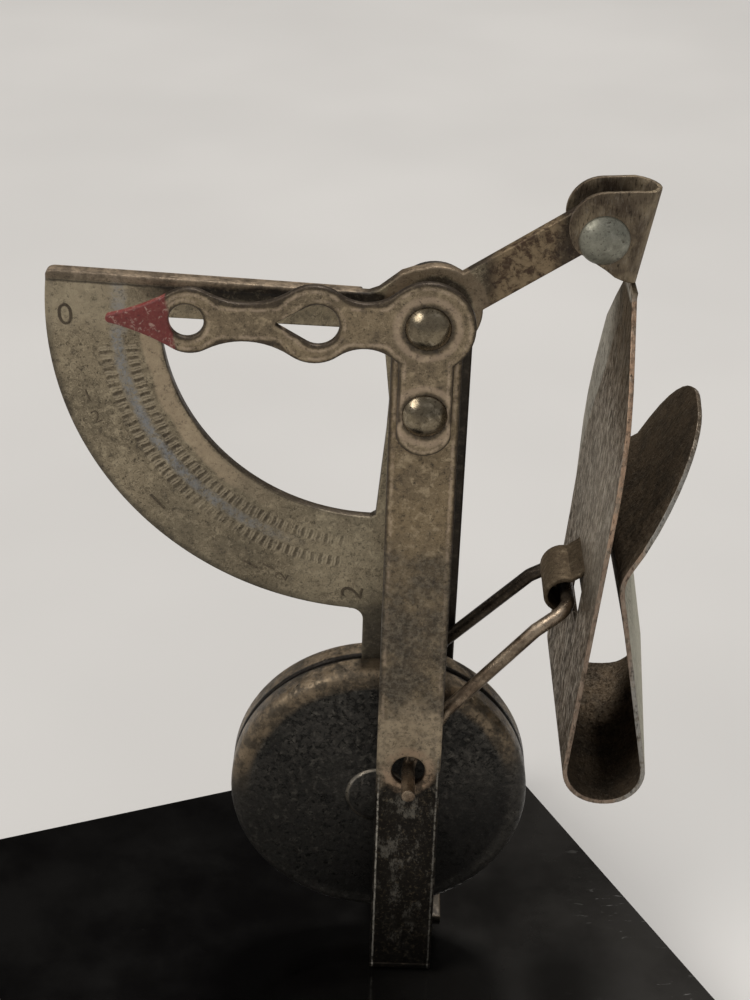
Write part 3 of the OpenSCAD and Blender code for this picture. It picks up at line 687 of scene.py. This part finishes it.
def makeQuadrant():
    q = quadrant
    drop = math.tan(math.radians(q["slope"]))
    farX = q["x"] - q["outer"]

    def topLine(x):
        return q["topZ"] - drop * (x - farX)

    arm, (hubX, hubZ, hubR), (tipX, tipZ, tipR) = q["armTurn"], q["hub"], q["armTip"]
    outline = arc(q["x"], q["z"], q["outer"], 265.6, 173.4, 60)
    outline += arc(-42.45, topLine(-42.45) - 0.6, 0.6, 172, 88, 5)
    outline += [(-6.7, topLine(-6.7)), (-5.6, 104.0), (-3.1, 106.05), (-1.6, 106.6)]
    outline += arc(hubX, hubZ, hubR, 112, arm + 24.5, 12)
    outline += arc(tipX, tipZ, tipR, 147.3, -111.8, 24)
    outline += arc(hubX, hubZ, hubR, arm - 30.6, -61.9, 12)
    outline += [(3.4, 52.0), (2.4, 35.3)] + arc(weightMid.x, weightMid.z, 6.0, -5, -175, 12)
    outline += [(-9.6, 35.3), (-6.3, 52.0)] + arc(-7.9, 59.95, 1.6, 0, 94, 8)
    window = arc(q["x"], q["z"], q["inner"], 179.6, 268.8, 48)
    window += [(-5.15, 74.9), (-4.2, 86.2), (-4.0, 90.2)] + arc(-5.6, 98.45, 0.7, 0, 88, 5)
    pins = [circle(pivot.x, pivot.z, q["pinR"]), circle(clipPivot.x, clipPivot.z, q["clipPinR"])]
    plate = flatPlate("quadrant", [outline, window] + pins, q["thick"], q["edge"])
    moved(plate, standUp)
    long, deep, corner = q["foldLong"], q["foldDeep"], 0.9
    lid = arc(corner, deep - corner, corner, 180, 90, 6) + [(long, deep), (long, 0.0), (0.0, 0.0)]
    fold = flatPlate("fold", [lid], q["foldHigh"], q["foldEdge"], 4)
    moved(fold, shift(farX, -q["thick"] / 2, q["topZ"]), turned(q["slope"], "Y"),
          shift(0.4, 0, -q["foldHigh"] / 2))
    makePiece("quadrantPlate", [plate, fold], quadrantBrass, "frame", ["quadrant_frame"])


def makeNumbers():
    # each number stands upright when the load has brought it round to the pointer
    meshes = []
    for text, x, z, share in quadrant["numbers"]:
        letters = bpy.data.curves.new("number", "FONT")
        letters.body = text
        letters.align_x = "CENTER"
        letters.align_y = "CENTER"
        letters.size = quadrant["numberSize"] * share
        letters.extrude = 0.01
        letters.bevel_depth = 0.025
        letters.offset = -0.03
        turn = math.degrees(math.atan2(z - pivot.z, x - pivot.x)) - 180
        onFace = shift(x, -quadrant["thick"] / 2 - 0.005, z)
        meshes.append(moved(curveMesh("number", letters), onFace, turned(-turn, "Y"), standUp))
    makePiece("scaleNumbers", meshes, stampedBrass, "frame")


makeQuadrant()
makeNumbers()
print("quadrant made")

# disc weight, two hollow shells
weight = {
    "r": 19.0, "half": 3.9, "shoulder": 1.4, "sheet": 0.5, "gap": 0.15, "hole": 1.53, "groove": 0.4,
    "ringR": 3.85, "tan": (0.24, 0.18, 0.115), "tanDark": (0.085, 0.067, 0.046),
    "lowerRightShade": (0.014, 0.013, 0.012), "blot": (0.006, 0.006, 0.005), "ring": (0.42, 0.38, 0.32),
    "grooveShade": (0.005, 0.004, 0.0035),
}


def paintWeight(t):
    w = weight
    radius, across, up = fromPoint(t, weightMid.x, weightMid.z)
    nearRim = t.ramp(wavy(t, radius, 0.3, 0.9), 16.2, 17.3)
    upper = t.ramp(wavy(t, t.plus(up, t.times(across, -0.15)), 0.15, 6.0), 0.0, 8.0)
    tan = t.mix(t.ramp(t.noise(0.6, 6, 0.68), 0.38, 0.62), w["tan"], w["tanDark"])
    # painted shade: the face darkens towards the lower right, away from the light
    lowRight = t.plus(up, t.times(across, -0.6))
    t.lay(w["lowerRightShade"], t.ramp(wavy(t, lowRight, 0.12, 8.0), -1.0, -12.0), invert(t, nearRim), 0.8)
    # painted light: the tan rim band shows only on the upper part, where the shoulder faces the light
    t.lay(tan, nearRim, upper, 0.92)
    groups = t.ramp(t.noise(0.13, 3, 0.6), 0.4, 0.56, 0.15, 1.0)
    blots = t.times(t.ramp(t.noise(1.25, 8, 0.78, 0.3), 0.5, 0.58), groups)
    t.lay(w["blot"], blots, t.minus(0.9, t.times(nearRim, 0.5)))
    t.relief = t.minus(t.relief, t.times(blots, 0.6))
    # painted highlight on the raised ring round the rivet, where it faces up and left
    lit = t.ramp(t.minus(up, across), 3.0, 5.6)
    ring = band(t, wavy(t, radius, 0.8, 0.2), w["ringR"], w["ringR"] + 0.35, 0.12)
    t.lay(w["ring"], ring, lit, t.ramp(t.noise(0.9, 4), 0.36, 0.54, 0.35, 1.0), 0.85)
    # painted shade, near black, in the groove where the two shells meet
    t.lay(w["grooveShade"], t.ramp(t.calc("ABSOLUTE", t.y), 0.85, 0.5), 0.95)
    t.rough = t.minus(t.rough, t.times(blots, 0.08))


weightBrass = patina("weightBrass", dict(
    brassLook, base=(0.05, 0.046, 0.04), second=(0.032, 0.03, 0.026), light=(0.1, 0.092, 0.078),
    oxide=(0.011, 0.01, 0.009), worn=(0.3, 0.26, 0.2), edgeRadius=0.35, edgeShare=0.55, rough=0.42,
    metal=0.75, mottleSize=1.0, bloomShare=0.25, speckShare=0.6), paintWeight)


def makeShell(name, node, side):
    w = weight
    farR, shoulderR, grooveR = w["r"], w["r"] - w["shoulder"], w["r"] - w["groove"]
    shoulderY, grooveY = w["half"] - w["shoulder"], w["gap"] + 0.05
    profile = [(farR - 0.45, w["gap"]), (grooveR, grooveY)]
    profile += arc(grooveR, grooveY + w["groove"], w["groove"], -60, 0, 4)
    profile += arc(shoulderR, shoulderY, w["shoulder"], 0, 90, 8)
    profile += [(w["hole"], w["half"]), (w["hole"], w["half"] - w["sheet"])]
    profile += arc(shoulderR, shoulderY, w["shoulder"] - w["sheet"], 90, 0, 6)
    profile += [(farR - w["sheet"], w["gap"])]
    work = bmesh.new()
    ring = [work.verts.new((r, side * y, 0)) for r, y in profile]
    edges = [work.edges.new((a, b)) for a, b in zip(ring, ring[1:] + ring[:1])]
    bmesh.ops.spin(work, geom=ring + edges, cent=(0, 0, 0), axis=(0, 1, 0), angle=math.tau, steps=128,
                   use_merge=True)
    weld(work)
    work.transform(shift(weightMid.x, 0, weightMid.z))
    makePiece(name, [asMesh(work, name)], weightBrass, "frame", [node])


makeShell("weightFront", "weight_front_shell", -1)
makeShell("weightBack", "weight_back_shell", 1)
print("weight made")

# letter clip: one bent sheet, a folded bracket and the curled hook
clip = {
    "sheet": 0.55, "half": 14.75, "top": (24.7, 117.9), "heading": -99.0, "archFrom": 83.0, "archR": 24.7,
    "neck": 3.3, "lipR": 15.0, "farR": 11.5, "farSide": 3.0, "yaw": 5.0, "fold": 2.525,
    "windowLow": 62.3, "windowHigh": 67.6,
    "earX": 18.95, "earZ": 113.0, "earR": 4.05, "earLow": 22.82,
    "hookX": 18.07, "hookZ": 66.26, "hookR": 2.1, "hookHalf": 4.0, "hookTip": 3.3,
    # each run of the sheet is where its rows lie, then the radius and turn of the bend after it
    "frontRuns": [([0, 4, 8, 12.3], 6, 6.7), ([0, 4, 8, 11.4], 20, -2.4),
                  ([0, 4, 8, 12, 16, 20, 25.6, 30.3, 34, 38, 41, 44], 4.65, 94.7)],
    "backRuns": [([0], 4.65, 100.9), ([0, 5, 10, 15, 20, 24.2], 5, -37.4),
                 ([0, 3, 5.9, 8.3, 10.3, 11.9, 13.2, 14.2, 14.95, 15.4, 15.63, 15.69], 0, 0)],
    "bracket": (0.27, 0.215, 0.14), "bracketDark": (0.13, 0.1, 0.068), "rust": (0.04, 0.026, 0.018),
    "strokeDark": (0.05, 0.038, 0.026), "strokePale": (0.46, 0.41, 0.34), "midway": (0.5, 0.45, 0.37),
    "farStrip": (0.44, 0.425, 0.37), "limb": (0.5, 0.5, 0.41), "innerShade": (0.11, 0.082, 0.055),
    "innerShadeDeep": (0.065, 0.051, 0.037), "innerShadeLow": (0.19, 0.14, 0.085), "cutLow": (0.3, 0.22, 0.165),
    "cutHigh": (0.55, 0.37, 0.25), "cutBack": (0.36, 0.35, 0.32),
}


def paintClip(t):
    c = clip
    faceX, faceY, faceZ = t.facing("Normal")
    bracket = t.ramp(t.z, 104.6, 106.0)
    onPlate = invert(t, bracket)
    brown = t.mix(t.ramp(t.noise(0.3, 6, 0.65), 0.38, 0.64), c["bracket"], c["bracketDark"])
    rust = spot(t, clipPivot.x - 0.9, clipPivot.z + 0.5, 2.4, 5.2, 0.7)
    brown = t.mix(t.times(rust, t.ramp(t.noise(0.4, 4, 0.6), 0.35, 0.6, 0.1, 0.8)), brown, c["rust"])
    t.lay(brown, bracket, 0.9)
    # drawn grain of the sheet, long strokes down the plate
    strokes = t.noise(2.6, 3, 0.7, 0.0, (1.0, 0.42, 0.3))
    darker = t.times(t.ramp(strokes, 0.5, 0.4), onPlate)
    t.lay(c["strokeDark"], darker, 0.75)
    t.lay(c["strokePale"], t.ramp(strokes, 0.54, 0.64), onPlate, 0.65)
    t.lay(c["midway"], band(t, wavy(t, t.z, 0.2, 6.0), 71, 87, 5.0), onPlate, 0.3)
    # the far strip of the plate catches more light, and narrows downwards
    above = t.calc("MAXIMUM", t.minus(t.z, c["archFrom"]), 0.0)
    bow = t.calc("MAXIMUM", t.minus(c["archR"] ** 2, t.times(above, above)), 0.0)
    fromEdge = t.minus(t.minus(t.calc("SQRT", bow), c["archR"] - c["half"]), t.y)
    strip = t.minus(t.ramp(t.z, 70, 92, 0.0, 5.2), fromEdge)
    t.lay(c["farStrip"], t.ramp(strip, -0.1, 0.3), t.ramp(t.z, 105.2, 104.6), 0.75)
    limb = t.times(t.ramp(faceX, 0.3, 0.7), t.ramp(wavy(t, t.z, 0.2, 9.0), 73, 65), t.ramp(t.x, 21.5, 22.0))
    t.lay(c["limb"], limb, 0.85)
    # the inner faces, the bend's floor and the lip are painted a deep brown as shade inside the U, a little
    # lighter higher up the left inner face
    onLeft = t.times(t.ramp(faceX, 0.1, 0.4), t.ramp(t.x, 22.4, 21.6))
    onRight = t.times(t.ramp(faceX, -0.1, -0.4), t.ramp(t.x, 21.6, 22.4))
    onFloor = t.times(t.ramp(faceZ, 0.2, 0.5), t.ramp(t.z, 54, 52))
    innerShade = t.calc("MAXIMUM", t.calc("MAXIMUM", onLeft, onRight), onFloor)
    innerShade = t.times(innerShade, t.ramp(t.z, 104.8, 104))
    deep = t.mix(t.ramp(t.noise(0.3, 5, 0.62), 0.4, 0.65), c["innerShade"], c["innerShadeDeep"])
    deep = t.mix(t.times(t.ramp(t.z, 53, 61), onLeft, 0.85), deep, c["innerShadeLow"])
    t.lay(deep, innerShade, 0.97)
    t.metal = t.plus(t.metal, t.times(innerShade, t.minus(0.9, t.metal)))
    t.rough = t.plus(t.plus(t.rough, t.times(innerShade, 0.2)), t.times(darker, 0.25))
    t.relief = t.plus(t.relief, t.times(t.minus(strokes, 0.5), 1.5))
    # rubbed copper colour and a painted highlight along the cut front edges
    cut = t.times(t.ramp(faceY, -0.5, -0.8), t.ramp(t.z, 105.5, 104.5))
    copperAndSheen = t.mix(t.ramp(t.z, 75, 84), c["cutLow"], c["cutHigh"])
    copperAndSheen = t.mix(t.ramp(t.x, 24.6, 25.6), copperAndSheen, c["cutBack"])
    t.lay(copperAndSheen, cut, t.ramp(t.noise(0.9, 5, 0.65), 0.36, 0.56, 0.2, 0.85))


clipSheet = patina("clipSheet", dict(
    brassLook, base=(0.145, 0.11, 0.075), second=(0.09, 0.068, 0.046), light=(0.34, 0.3, 0.24),
    worn=(0.5, 0.36, 0.27), grain=(1.0, 1.0, 0.3), mottleSize=1.5, bloomShare=0.2, edgeRadius=0.2,
    edgeShare=0.25, nookShare=0.35, speckSize=2.8, speckShare=0.8, bump=0.8,
    glance=(0.66, 0.59, 0.5)), paintClip)
hookSheet = patina("hookSheet", dict(
    brassLook, base=(0.095, 0.07, 0.044), second=(0.06, 0.044, 0.028), light=(0.19, 0.15, 0.1),
    edgeRadius=0.2, edgeShare=0.25, rough=0.6, speckShare=0.75, mottleSize=1.1, glance=(0.6, 0.48, 0.36)))


def clipPiece(name, mesh, material, rounding, nodes=()):
    piece = makePiece(name, [mesh], material, "clip", nodes, 40)
    thicken(piece, clip["sheet"], rounding)


def stations(runs, x, z, heading):
    # points along a bent sheet seen from its edge, with the length still left at each
    found = []
    total = sum(marks[-1] for marks, radius, turn in runs)
    gone = 0.0
    for marks, radius, turn in runs:
        aim = math.radians(heading)
        found += [(x + s * math.cos(aim), z + s * math.sin(aim), total - gone - s) for s in marks]
        gone += marks[-1]
        x, z = x + marks[-1] * math.cos(aim), z + marks[-1] * math.sin(aim)
        if turn:
            side = math.copysign(1.0, turn)
            bendX, bendZ = x - side * radius * math.sin(aim), z + side * radius * math.cos(aim)
            steps = max(2, round(abs(turn) / 9))
            for i in range(1, steps + 1):
                aim = math.radians(heading + turn * i / steps)
                x, z = bendX + side * radius * math.sin(aim), bendZ - side * radius * math.cos(aim)
                if i < steps:
                    found.append((x, z, total - gone))
            heading += turn
    if runs[-1][2]:
        found.append((x, z, total - gone))
    return found, (x, z)


def makeClip():
    c = clip
    front, (lowX, lowZ) = stations(c["frontRuns"], c["top"][0], c["top"][1], c["heading"])
    back, end = stations(c["backRuns"], lowX, lowZ, 0.0)
    rows = [(x, z, None) for x, z, left in front if z < 108.0] + back[1:]
    columns = [-1, -0.93, -0.8, -0.62, -0.45, -0.298, 0, 0.298, 0.45, 0.62, 0.8, 0.93, 1]
    half = c["half"]

    def lipSide(r, left, middle):
        short = max(0.0, r - max(0.0, left))
        return min(half, middle + math.sqrt(r * r - short * short))

    def halfWidth(z, left, far):
        if left is not None:
            near = lipSide(c["lipR"], left, 0.0)
            return max(near, lipSide(c["farR"], left, c["farSide"])) if far else near
        if z < c["archFrom"]:
            return half
        arch = math.sqrt(max(0.0, c["archR"] ** 2 - (z - c["archFrom"]) ** 2))
        return max(c["neck"], half - c["archR"] + arch)

    def yawShare(x, z, left):
        # the plate hangs straight, and the bend turns the limb behind it
        if left is not None and x > lowX + 1.5:
            return 1.0
        return ease(lowX - 3.5, lowX + 2.5, x) if z < 50 else 0.0

    def place(col, row):
        x, z, left = rows[row]
        y = columns[col] * halfWidth(z, left, columns[col] > 0)
        if left is None:
            curl = ease(0.55, 1.0, columns[col]) * ease(70, 84, z) * ease(105, 98, z)
            x -= 0.55 * curl
        yaw = math.radians(c["yaw"]) * yawShare(x, z, left)
        dx, dy = x - lowX, y + half
        turnedX = lowX + dx * math.cos(yaw) + dy * math.sin(yaw)
        return Vector((turnedX, -half - dx * math.sin(yaw) + dy * math.cos(yaw), z))

    def inWindow(col, row):
        x, z, left = rows[row]
        return left is None and z < c["windowHigh"] and rows[row + 1][1] > c["windowLow"] and 5 <= col <= 6

    sheet = sheetGrid(len(columns) - 1, len(rows) - 1, place, inWindow)
    clipPiece("clipSheetPiece", sheet, clipSheet, 0.1, ["clip"])


def makeBracket():
    c = clip
    earX, earZ, earR, fold = c["earX"], c["earZ"], c["earR"], c["fold"]
    lowPath = [(16.1, 110.1), (19.4, 108.05), (21.3, 106.5), (22.8, 106.0)]

    def upper(x):
        if x < earX:
            return earZ + math.sqrt(max(0.0, earR ** 2 - (x - earX) ** 2))
        return lerp(earZ + earR, c["top"][1] - 0.5, (x - earX) / (c["top"][0] - earX))

    def lower(x):
        if x < lowPath[0][0]:
            return earZ - math.sqrt(max(0.0, earR ** 2 - (x - earX) ** 2))
        for (x1, z1), (x2, z2) in zip(lowPath, lowPath[1:]):
            if x <= x2:
                return lerp(z1, z2, (x - x1) / (x2 - x1))
        return lowPath[-1][1]

    ear, bend, rows = 16, 10, 10
    topX, lowX = c["top"][0] - fold, c["earLow"] - fold
    leftX = earX - earR

    def place(col, row):
        v = row / rows
        side = -1 if col <= ear + bend / 2 else 1
        fromEnd = min(col, 2 * ear + bend - col)
        if fromEnd <= ear:
            q = 1 - math.cos(fromEnd / ear * math.pi / 2)
            xHigh, xLow = lerp(leftX, topX, q), lerp(leftX, lowX, q)
            return Vector((lerp(xLow, xHigh, v), side * fold, lerp(lower(xLow), upper(xHigh), v)))
        psi = (col - ear) / bend * math.pi
        zHigh = lerp(upper(topX), c["top"][1] - 0.9, math.sin(psi))
        zLow = lerp(lower(lowX), lowPath[-1][1], math.sin(psi))
        x = lerp(lowX, topX, v) + fold * math.sin(psi)
        return Vector((x, -fold * math.cos(psi), lerp(zLow, zHigh, v)))

    clipPiece("clipBracket", sheetGrid(2 * ear + bend, rows, place), clipSheet, 0.12)


def makeHook():
    # a tongue of the plate bent out to the left, round under the wire
    c = clip
    path = [(20.5, 70.3), (20.0, 69.65), (19.35, 69.15)]
    path += arc(c["hookX"], c["hookZ"], c["hookR"] + c["sheet"] / 2, 78, 300, 20)
    last = len(path) - 1

    def place(col, row):
        half = lerp(c["hookHalf"], c["hookTip"], ease(3, last, row))
        return Vector((path[row][0], half * (col / 2 - 1), path[row][1]))

    clipPiece("clipHook", sheetGrid(4, last, place), hookSheet, 0.12)


makeClip()
makeBracket()
makeHook()
print("clip made")

# wire link
wire = {
    "r": 0.85, "bend": 1.7, "legs": 5.45, "axis": 41.9, "barX": 18.38, "barZ": 65.63, "front": 12.4,
    "back": 9.6, "pale": (0.3, 0.24, 0.17), "brown": (0.085, 0.06, 0.038), "paleTone": (0.5, 0.4, 0.3),
    "farLegShade": (0.02, 0.016, 0.012),
}


def paintWire(t):
    w = wire
    t.lay(t.mix(t.ramp(t.noise(0.35, 5, 0.65), 0.4, 0.6), w["pale"], w["brown"]), 0.7)
    uneven = t.ramp(t.noise(0.8, 4), 0.35, 0.5, 0.3, 1.0)
    # painted highlight where the legs bend up to the hook
    t.lay(w["paleTone"], spot(t, 17.0, 63.0, 0.0, 3.4, 1.2), uneven, 0.45)
    # painted shade on the far leg
    t.lay(w["farLegShade"], t.ramp(t.y, 2.0, 5.0), 0.85)


wireBrass = patina("wireBrass", dict(
    brassLook, base=(0.3, 0.215, 0.145), second=(0.2, 0.145, 0.1), light=(0.42, 0.31, 0.22), rough=0.32,
    mottleSize=1.1, patchSize=0.2, metal=0.85, edgeShare=0.0), paintWire)


def roundedPath(points, bend):
    path = [points[0]]
    for before, corner, after in zip(points, points[1:], points[2:]):
        a, b = (before - corner).normalized(), (after - corner).normalized()
        half = a.angle(b) / 2
        trim = min(bend / math.tan(half), (before - corner).length * 0.45, (after - corner).length * 0.45)
        start, stop = corner + a * trim, corner + b * trim
        mid = corner + (a + b).normalized() * trim / math.cos(half)
        radius = (start - mid).length
        first, last = (start - mid).normalized(), (stop - mid).normalized()
        steps = max(3, round(math.degrees(first.angle(last)) / 9))
        path += [mid + radius * first.slerp(last, i / steps) for i in range(steps + 1)]
    return path + [points[-1]]


def makeWire():
    w = wire
    y, axis, barX, barZ = w["legs"], w["axis"], w["barX"], w["barZ"]
    corners = [(0, -w["front"], axis), (0, -y, axis), (4.4, -y, 50.1), (14.6, -y, 62.3), (barX, -y, barZ),
               (barX, y, barZ), (14.4, y, 63.4), (4, y, 53.0), (0, y, axis), (0, w["back"], axis)]
    path = roundedPath([Vector(corner) for corner in corners], w["bend"])
    curve = bpy.data.curves.new("wire", "CURVE")
    curve.dimensions = "3D"
    spline = curve.splines.new("POLY")
    spline.points.add(len(path) - 1)
    for point, where in zip(spline.points, path):
        point.co = (*where, 1)
    curve.bevel_depth = w["r"]
    curve.bevel_resolution = 5
    curve.use_fill_caps = True
    mesh = curveMesh("wire", curve)
    makePiece("wireLink", [mesh], wireBrass, "wire", ["wire_link"], 40)


makeWire()
print("wire made")

# slab, rivets and fixings keep the shapes they came with
slab = {
    "black": (0.0015, 0.0013, 0.0013), "worn": (0.004, 0.0037, 0.0034), "rightSheen": (0.021, 0.0195, 0.0175),
    "scratch": (0.07, 0.067, 0.06), "dust": (0.1, 0.095, 0.085), "ior": 1.4,
}


def polishedSlab():
    material, t = startMaterial("polishedSlab")
    smears = t.noise(0.05, 5, 0.6)
    dust = t.noise(1.6, 3, 0.7)
    scratches = t.noise(1.0, 4, 0.6, 0.6, (0.35, 1.6, 1.0))
    t.colour = t.mix(t.ramp(smears, 0.35, 0.7), slab["black"], slab["worn"])
    # painted reflection: the slab is lighter towards the right, standing in for a stronger reflection there
    t.lay(slab["rightSheen"], t.ramp(t.x, -20, 35), t.ramp(smears, 0.3, 0.6, 0.5, 1.0))
    corner = t.times(t.ramp(t.x, 16, 34), t.ramp(t.noise(0.12, 3), 0.4, 0.6))
    marks = t.times(t.ramp(scratches, 0.62, 0.7), corner)
    t.lay(slab["scratch"], marks, 0.35)
    t.lay(slab["dust"], t.ramp(dust, 0.74, 0.8))
    t.give("Base Color", t.colour)
    t.give("Roughness", t.plus(t.ramp(smears, 0.3, 0.7, 0.1, 0.18), t.times(marks, 0.25)))
    t.give("IOR", slab["ior"])
    t.bump(t.noise(0.9, 4), 0.06, 0.05)
    return material


rivetLook = dict(
    brassLook, base=(0.22, 0.18, 0.12), second=(0.14, 0.115, 0.078), light=(0.38, 0.32, 0.23), rough=0.24,
    metal=0.95, edgeShare=0.2, bump=0.2, oxideShare=0.45, nookReach=1.2, nookShare=1.0, bloomShare=0.15)
rivetBrass = patina("rivetBrass", rivetLook)
dullRivet = patina("dullRivet", dict(
    rivetLook, base=(0.24, 0.235, 0.185), second=(0.19, 0.185, 0.145), light=(0.33, 0.32, 0.26), rough=0.42,
    metal=0.6))
fixingSteel = patina("fixingSteel", dict(
    brassLook, base=(0.2, 0.19, 0.18), second=(0.15, 0.14, 0.13), light=(0.3, 0.29, 0.28), rough=0.4))
# painted shade: the bushes and washers sit in the shaded gaps between plates, so they take the darkened brass
shadedBrass = patina("shadedBrass", darkLook)
keptFinishes = [
    (polishedSlab(), ["base"]), (fixingSteel, ["base_screws", "base_nuts"]),
    (rivetBrass, ["pointer_rivet", "pivot_rivet"]), (dullRivet, ["clip_rivet"]),
    (shadedBrass, ["pivot_bush_front", "pivot_bush_back", "clip_washers"]), (weightBrass, ["weight_rivet"]),
]
for material, nodes in keptFinishes:
    for node in nodes:
        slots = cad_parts[node].data.materials
        slots.clear()
        slots.append(material)
print("slab, rivets and fixings finished")

# floor, light and camera
studio = {
    "floorTone": (0.575, 0.567, 0.553), "floorDark": 0.93, "floorLitGain": 1.18, "floorRough": 0.6,
    "wallTones": ((0.02, 0.019, 0.018), (0.035, 0.033, 0.03)), "wallBack": 1.5, "wallWide": 2.6,
    "sky": (0.5, 0.5, 0.51), "skyStrength": 0.7, "lampTone": (1.0, 0.965, 0.92), "aim": (0, 0, 0.06),
    "lamps": [("lampAbove", (0.12, 0.62, 1.25), 0.3, 13.0), ("lampLeft", (-1.0, -0.5, 1.0), 0.8, 9.0)],
}


def stagedSheet(name, size, transform, material):
    work = bmesh.new()
    bmesh.ops.create_grid(work, x_segments=1, y_segments=1, size=size)
    work.transform(transform)
    mesh = asMesh(work, name)
    mesh.materials.append(material)
    addObject(name, mesh)


def makeStudio():
    s = studio
    paleFloor, t = startMaterial("paleFloor")
    darker = tuple(part * s["floorDark"] for part in s["floorTone"])
    litPatch = tuple(part * s["floorLitGain"] for part in s["floorTone"])
    t.colour = t.mix(t.ramp(t.noise(0.006, 3), 0.35, 0.65), darker, s["floorTone"])
    # painted light: a lighter patch on the floor to the right of the slab and in front of it, lifting the
    # shading there
    t.lay(litPatch, t.ramp(t.x, 25, 55), t.ramp(t.y, 70, 0))
    t.give("Base Color", t.colour)
    t.give("Roughness", s["floorRough"])
    stagedSheet("floor", 4.0, Matrix.Identity(4), paleFloor)
    roomGloom, t = startMaterial("roomGloom")
    t.give("Base Color", t.mix(t.noise(0.002, 2), *s["wallTones"]))
    upright = shift(0, s["wallBack"], 1.0) @ turned(90, "X") @ Matrix.Diagonal((s["wallWide"], 1.0, 1.0, 1.0))
    stagedSheet("darkWall", 1.0, upright, roomGloom)
    world = bpy.data.worlds.new("room")
    world.use_nodes = True
    sky = world.node_tree.nodes["Background"]
    sky.inputs[0].default_value = (*s["sky"], 1)
    sky.inputs[1].default_value = s["skyStrength"]
    bpy.context.scene.world = world


def softLight(name, place, size, power):
    data = bpy.data.lights.new(name, "AREA")
    data.shape = "DISK"
    data.size = size
    data.energy = power
    data.color = studio["lampTone"]
    lamp = addObject(name, data)
    lamp.location = place
    lamp.rotation_euler = (Vector(studio["aim"]) - Vector(place)).to_track_quat("-Z", "Y").to_euler()


makeStudio()
for lamp in studio["lamps"]:
    softLight(*lamp)

view = {"x": -5.26, "y": -197.49, "aboveSlab": 178.35, "pitch": 29.51, "roll": -1.89, "lens": 68.37}


def makeCamera():
    data = bpy.data.cameras.new("camera")
    data.lens = view["lens"]
    data.sensor_width = 36.0
    data.clip_start = 0.01
    data.clip_end = 20.0
    camera = addObject("camera", data)
    pitch, roll = math.radians(view["pitch"]), math.radians(view["roll"])
    forward = Vector((0, math.cos(pitch), -math.sin(pitch)))
    across = Vector((1, 0, 0))
    down = forward.cross(across)
    right = math.cos(roll) * across + math.sin(roll) * down
    below = -math.sin(roll) * across + math.cos(roll) * down
    turn = Matrix((right, -below, -forward)).transposed().to_4x4()
    place = Vector((view["x"], view["y"], slabTop + view["aboveSlab"])) * mm
    camera.matrix_world = Matrix.Translation(place) @ turn
    bpy.context.scene.camera = camera


makeCamera()
bpy.context.scene.view_settings.view_transform = "Standard"
print("studio made")
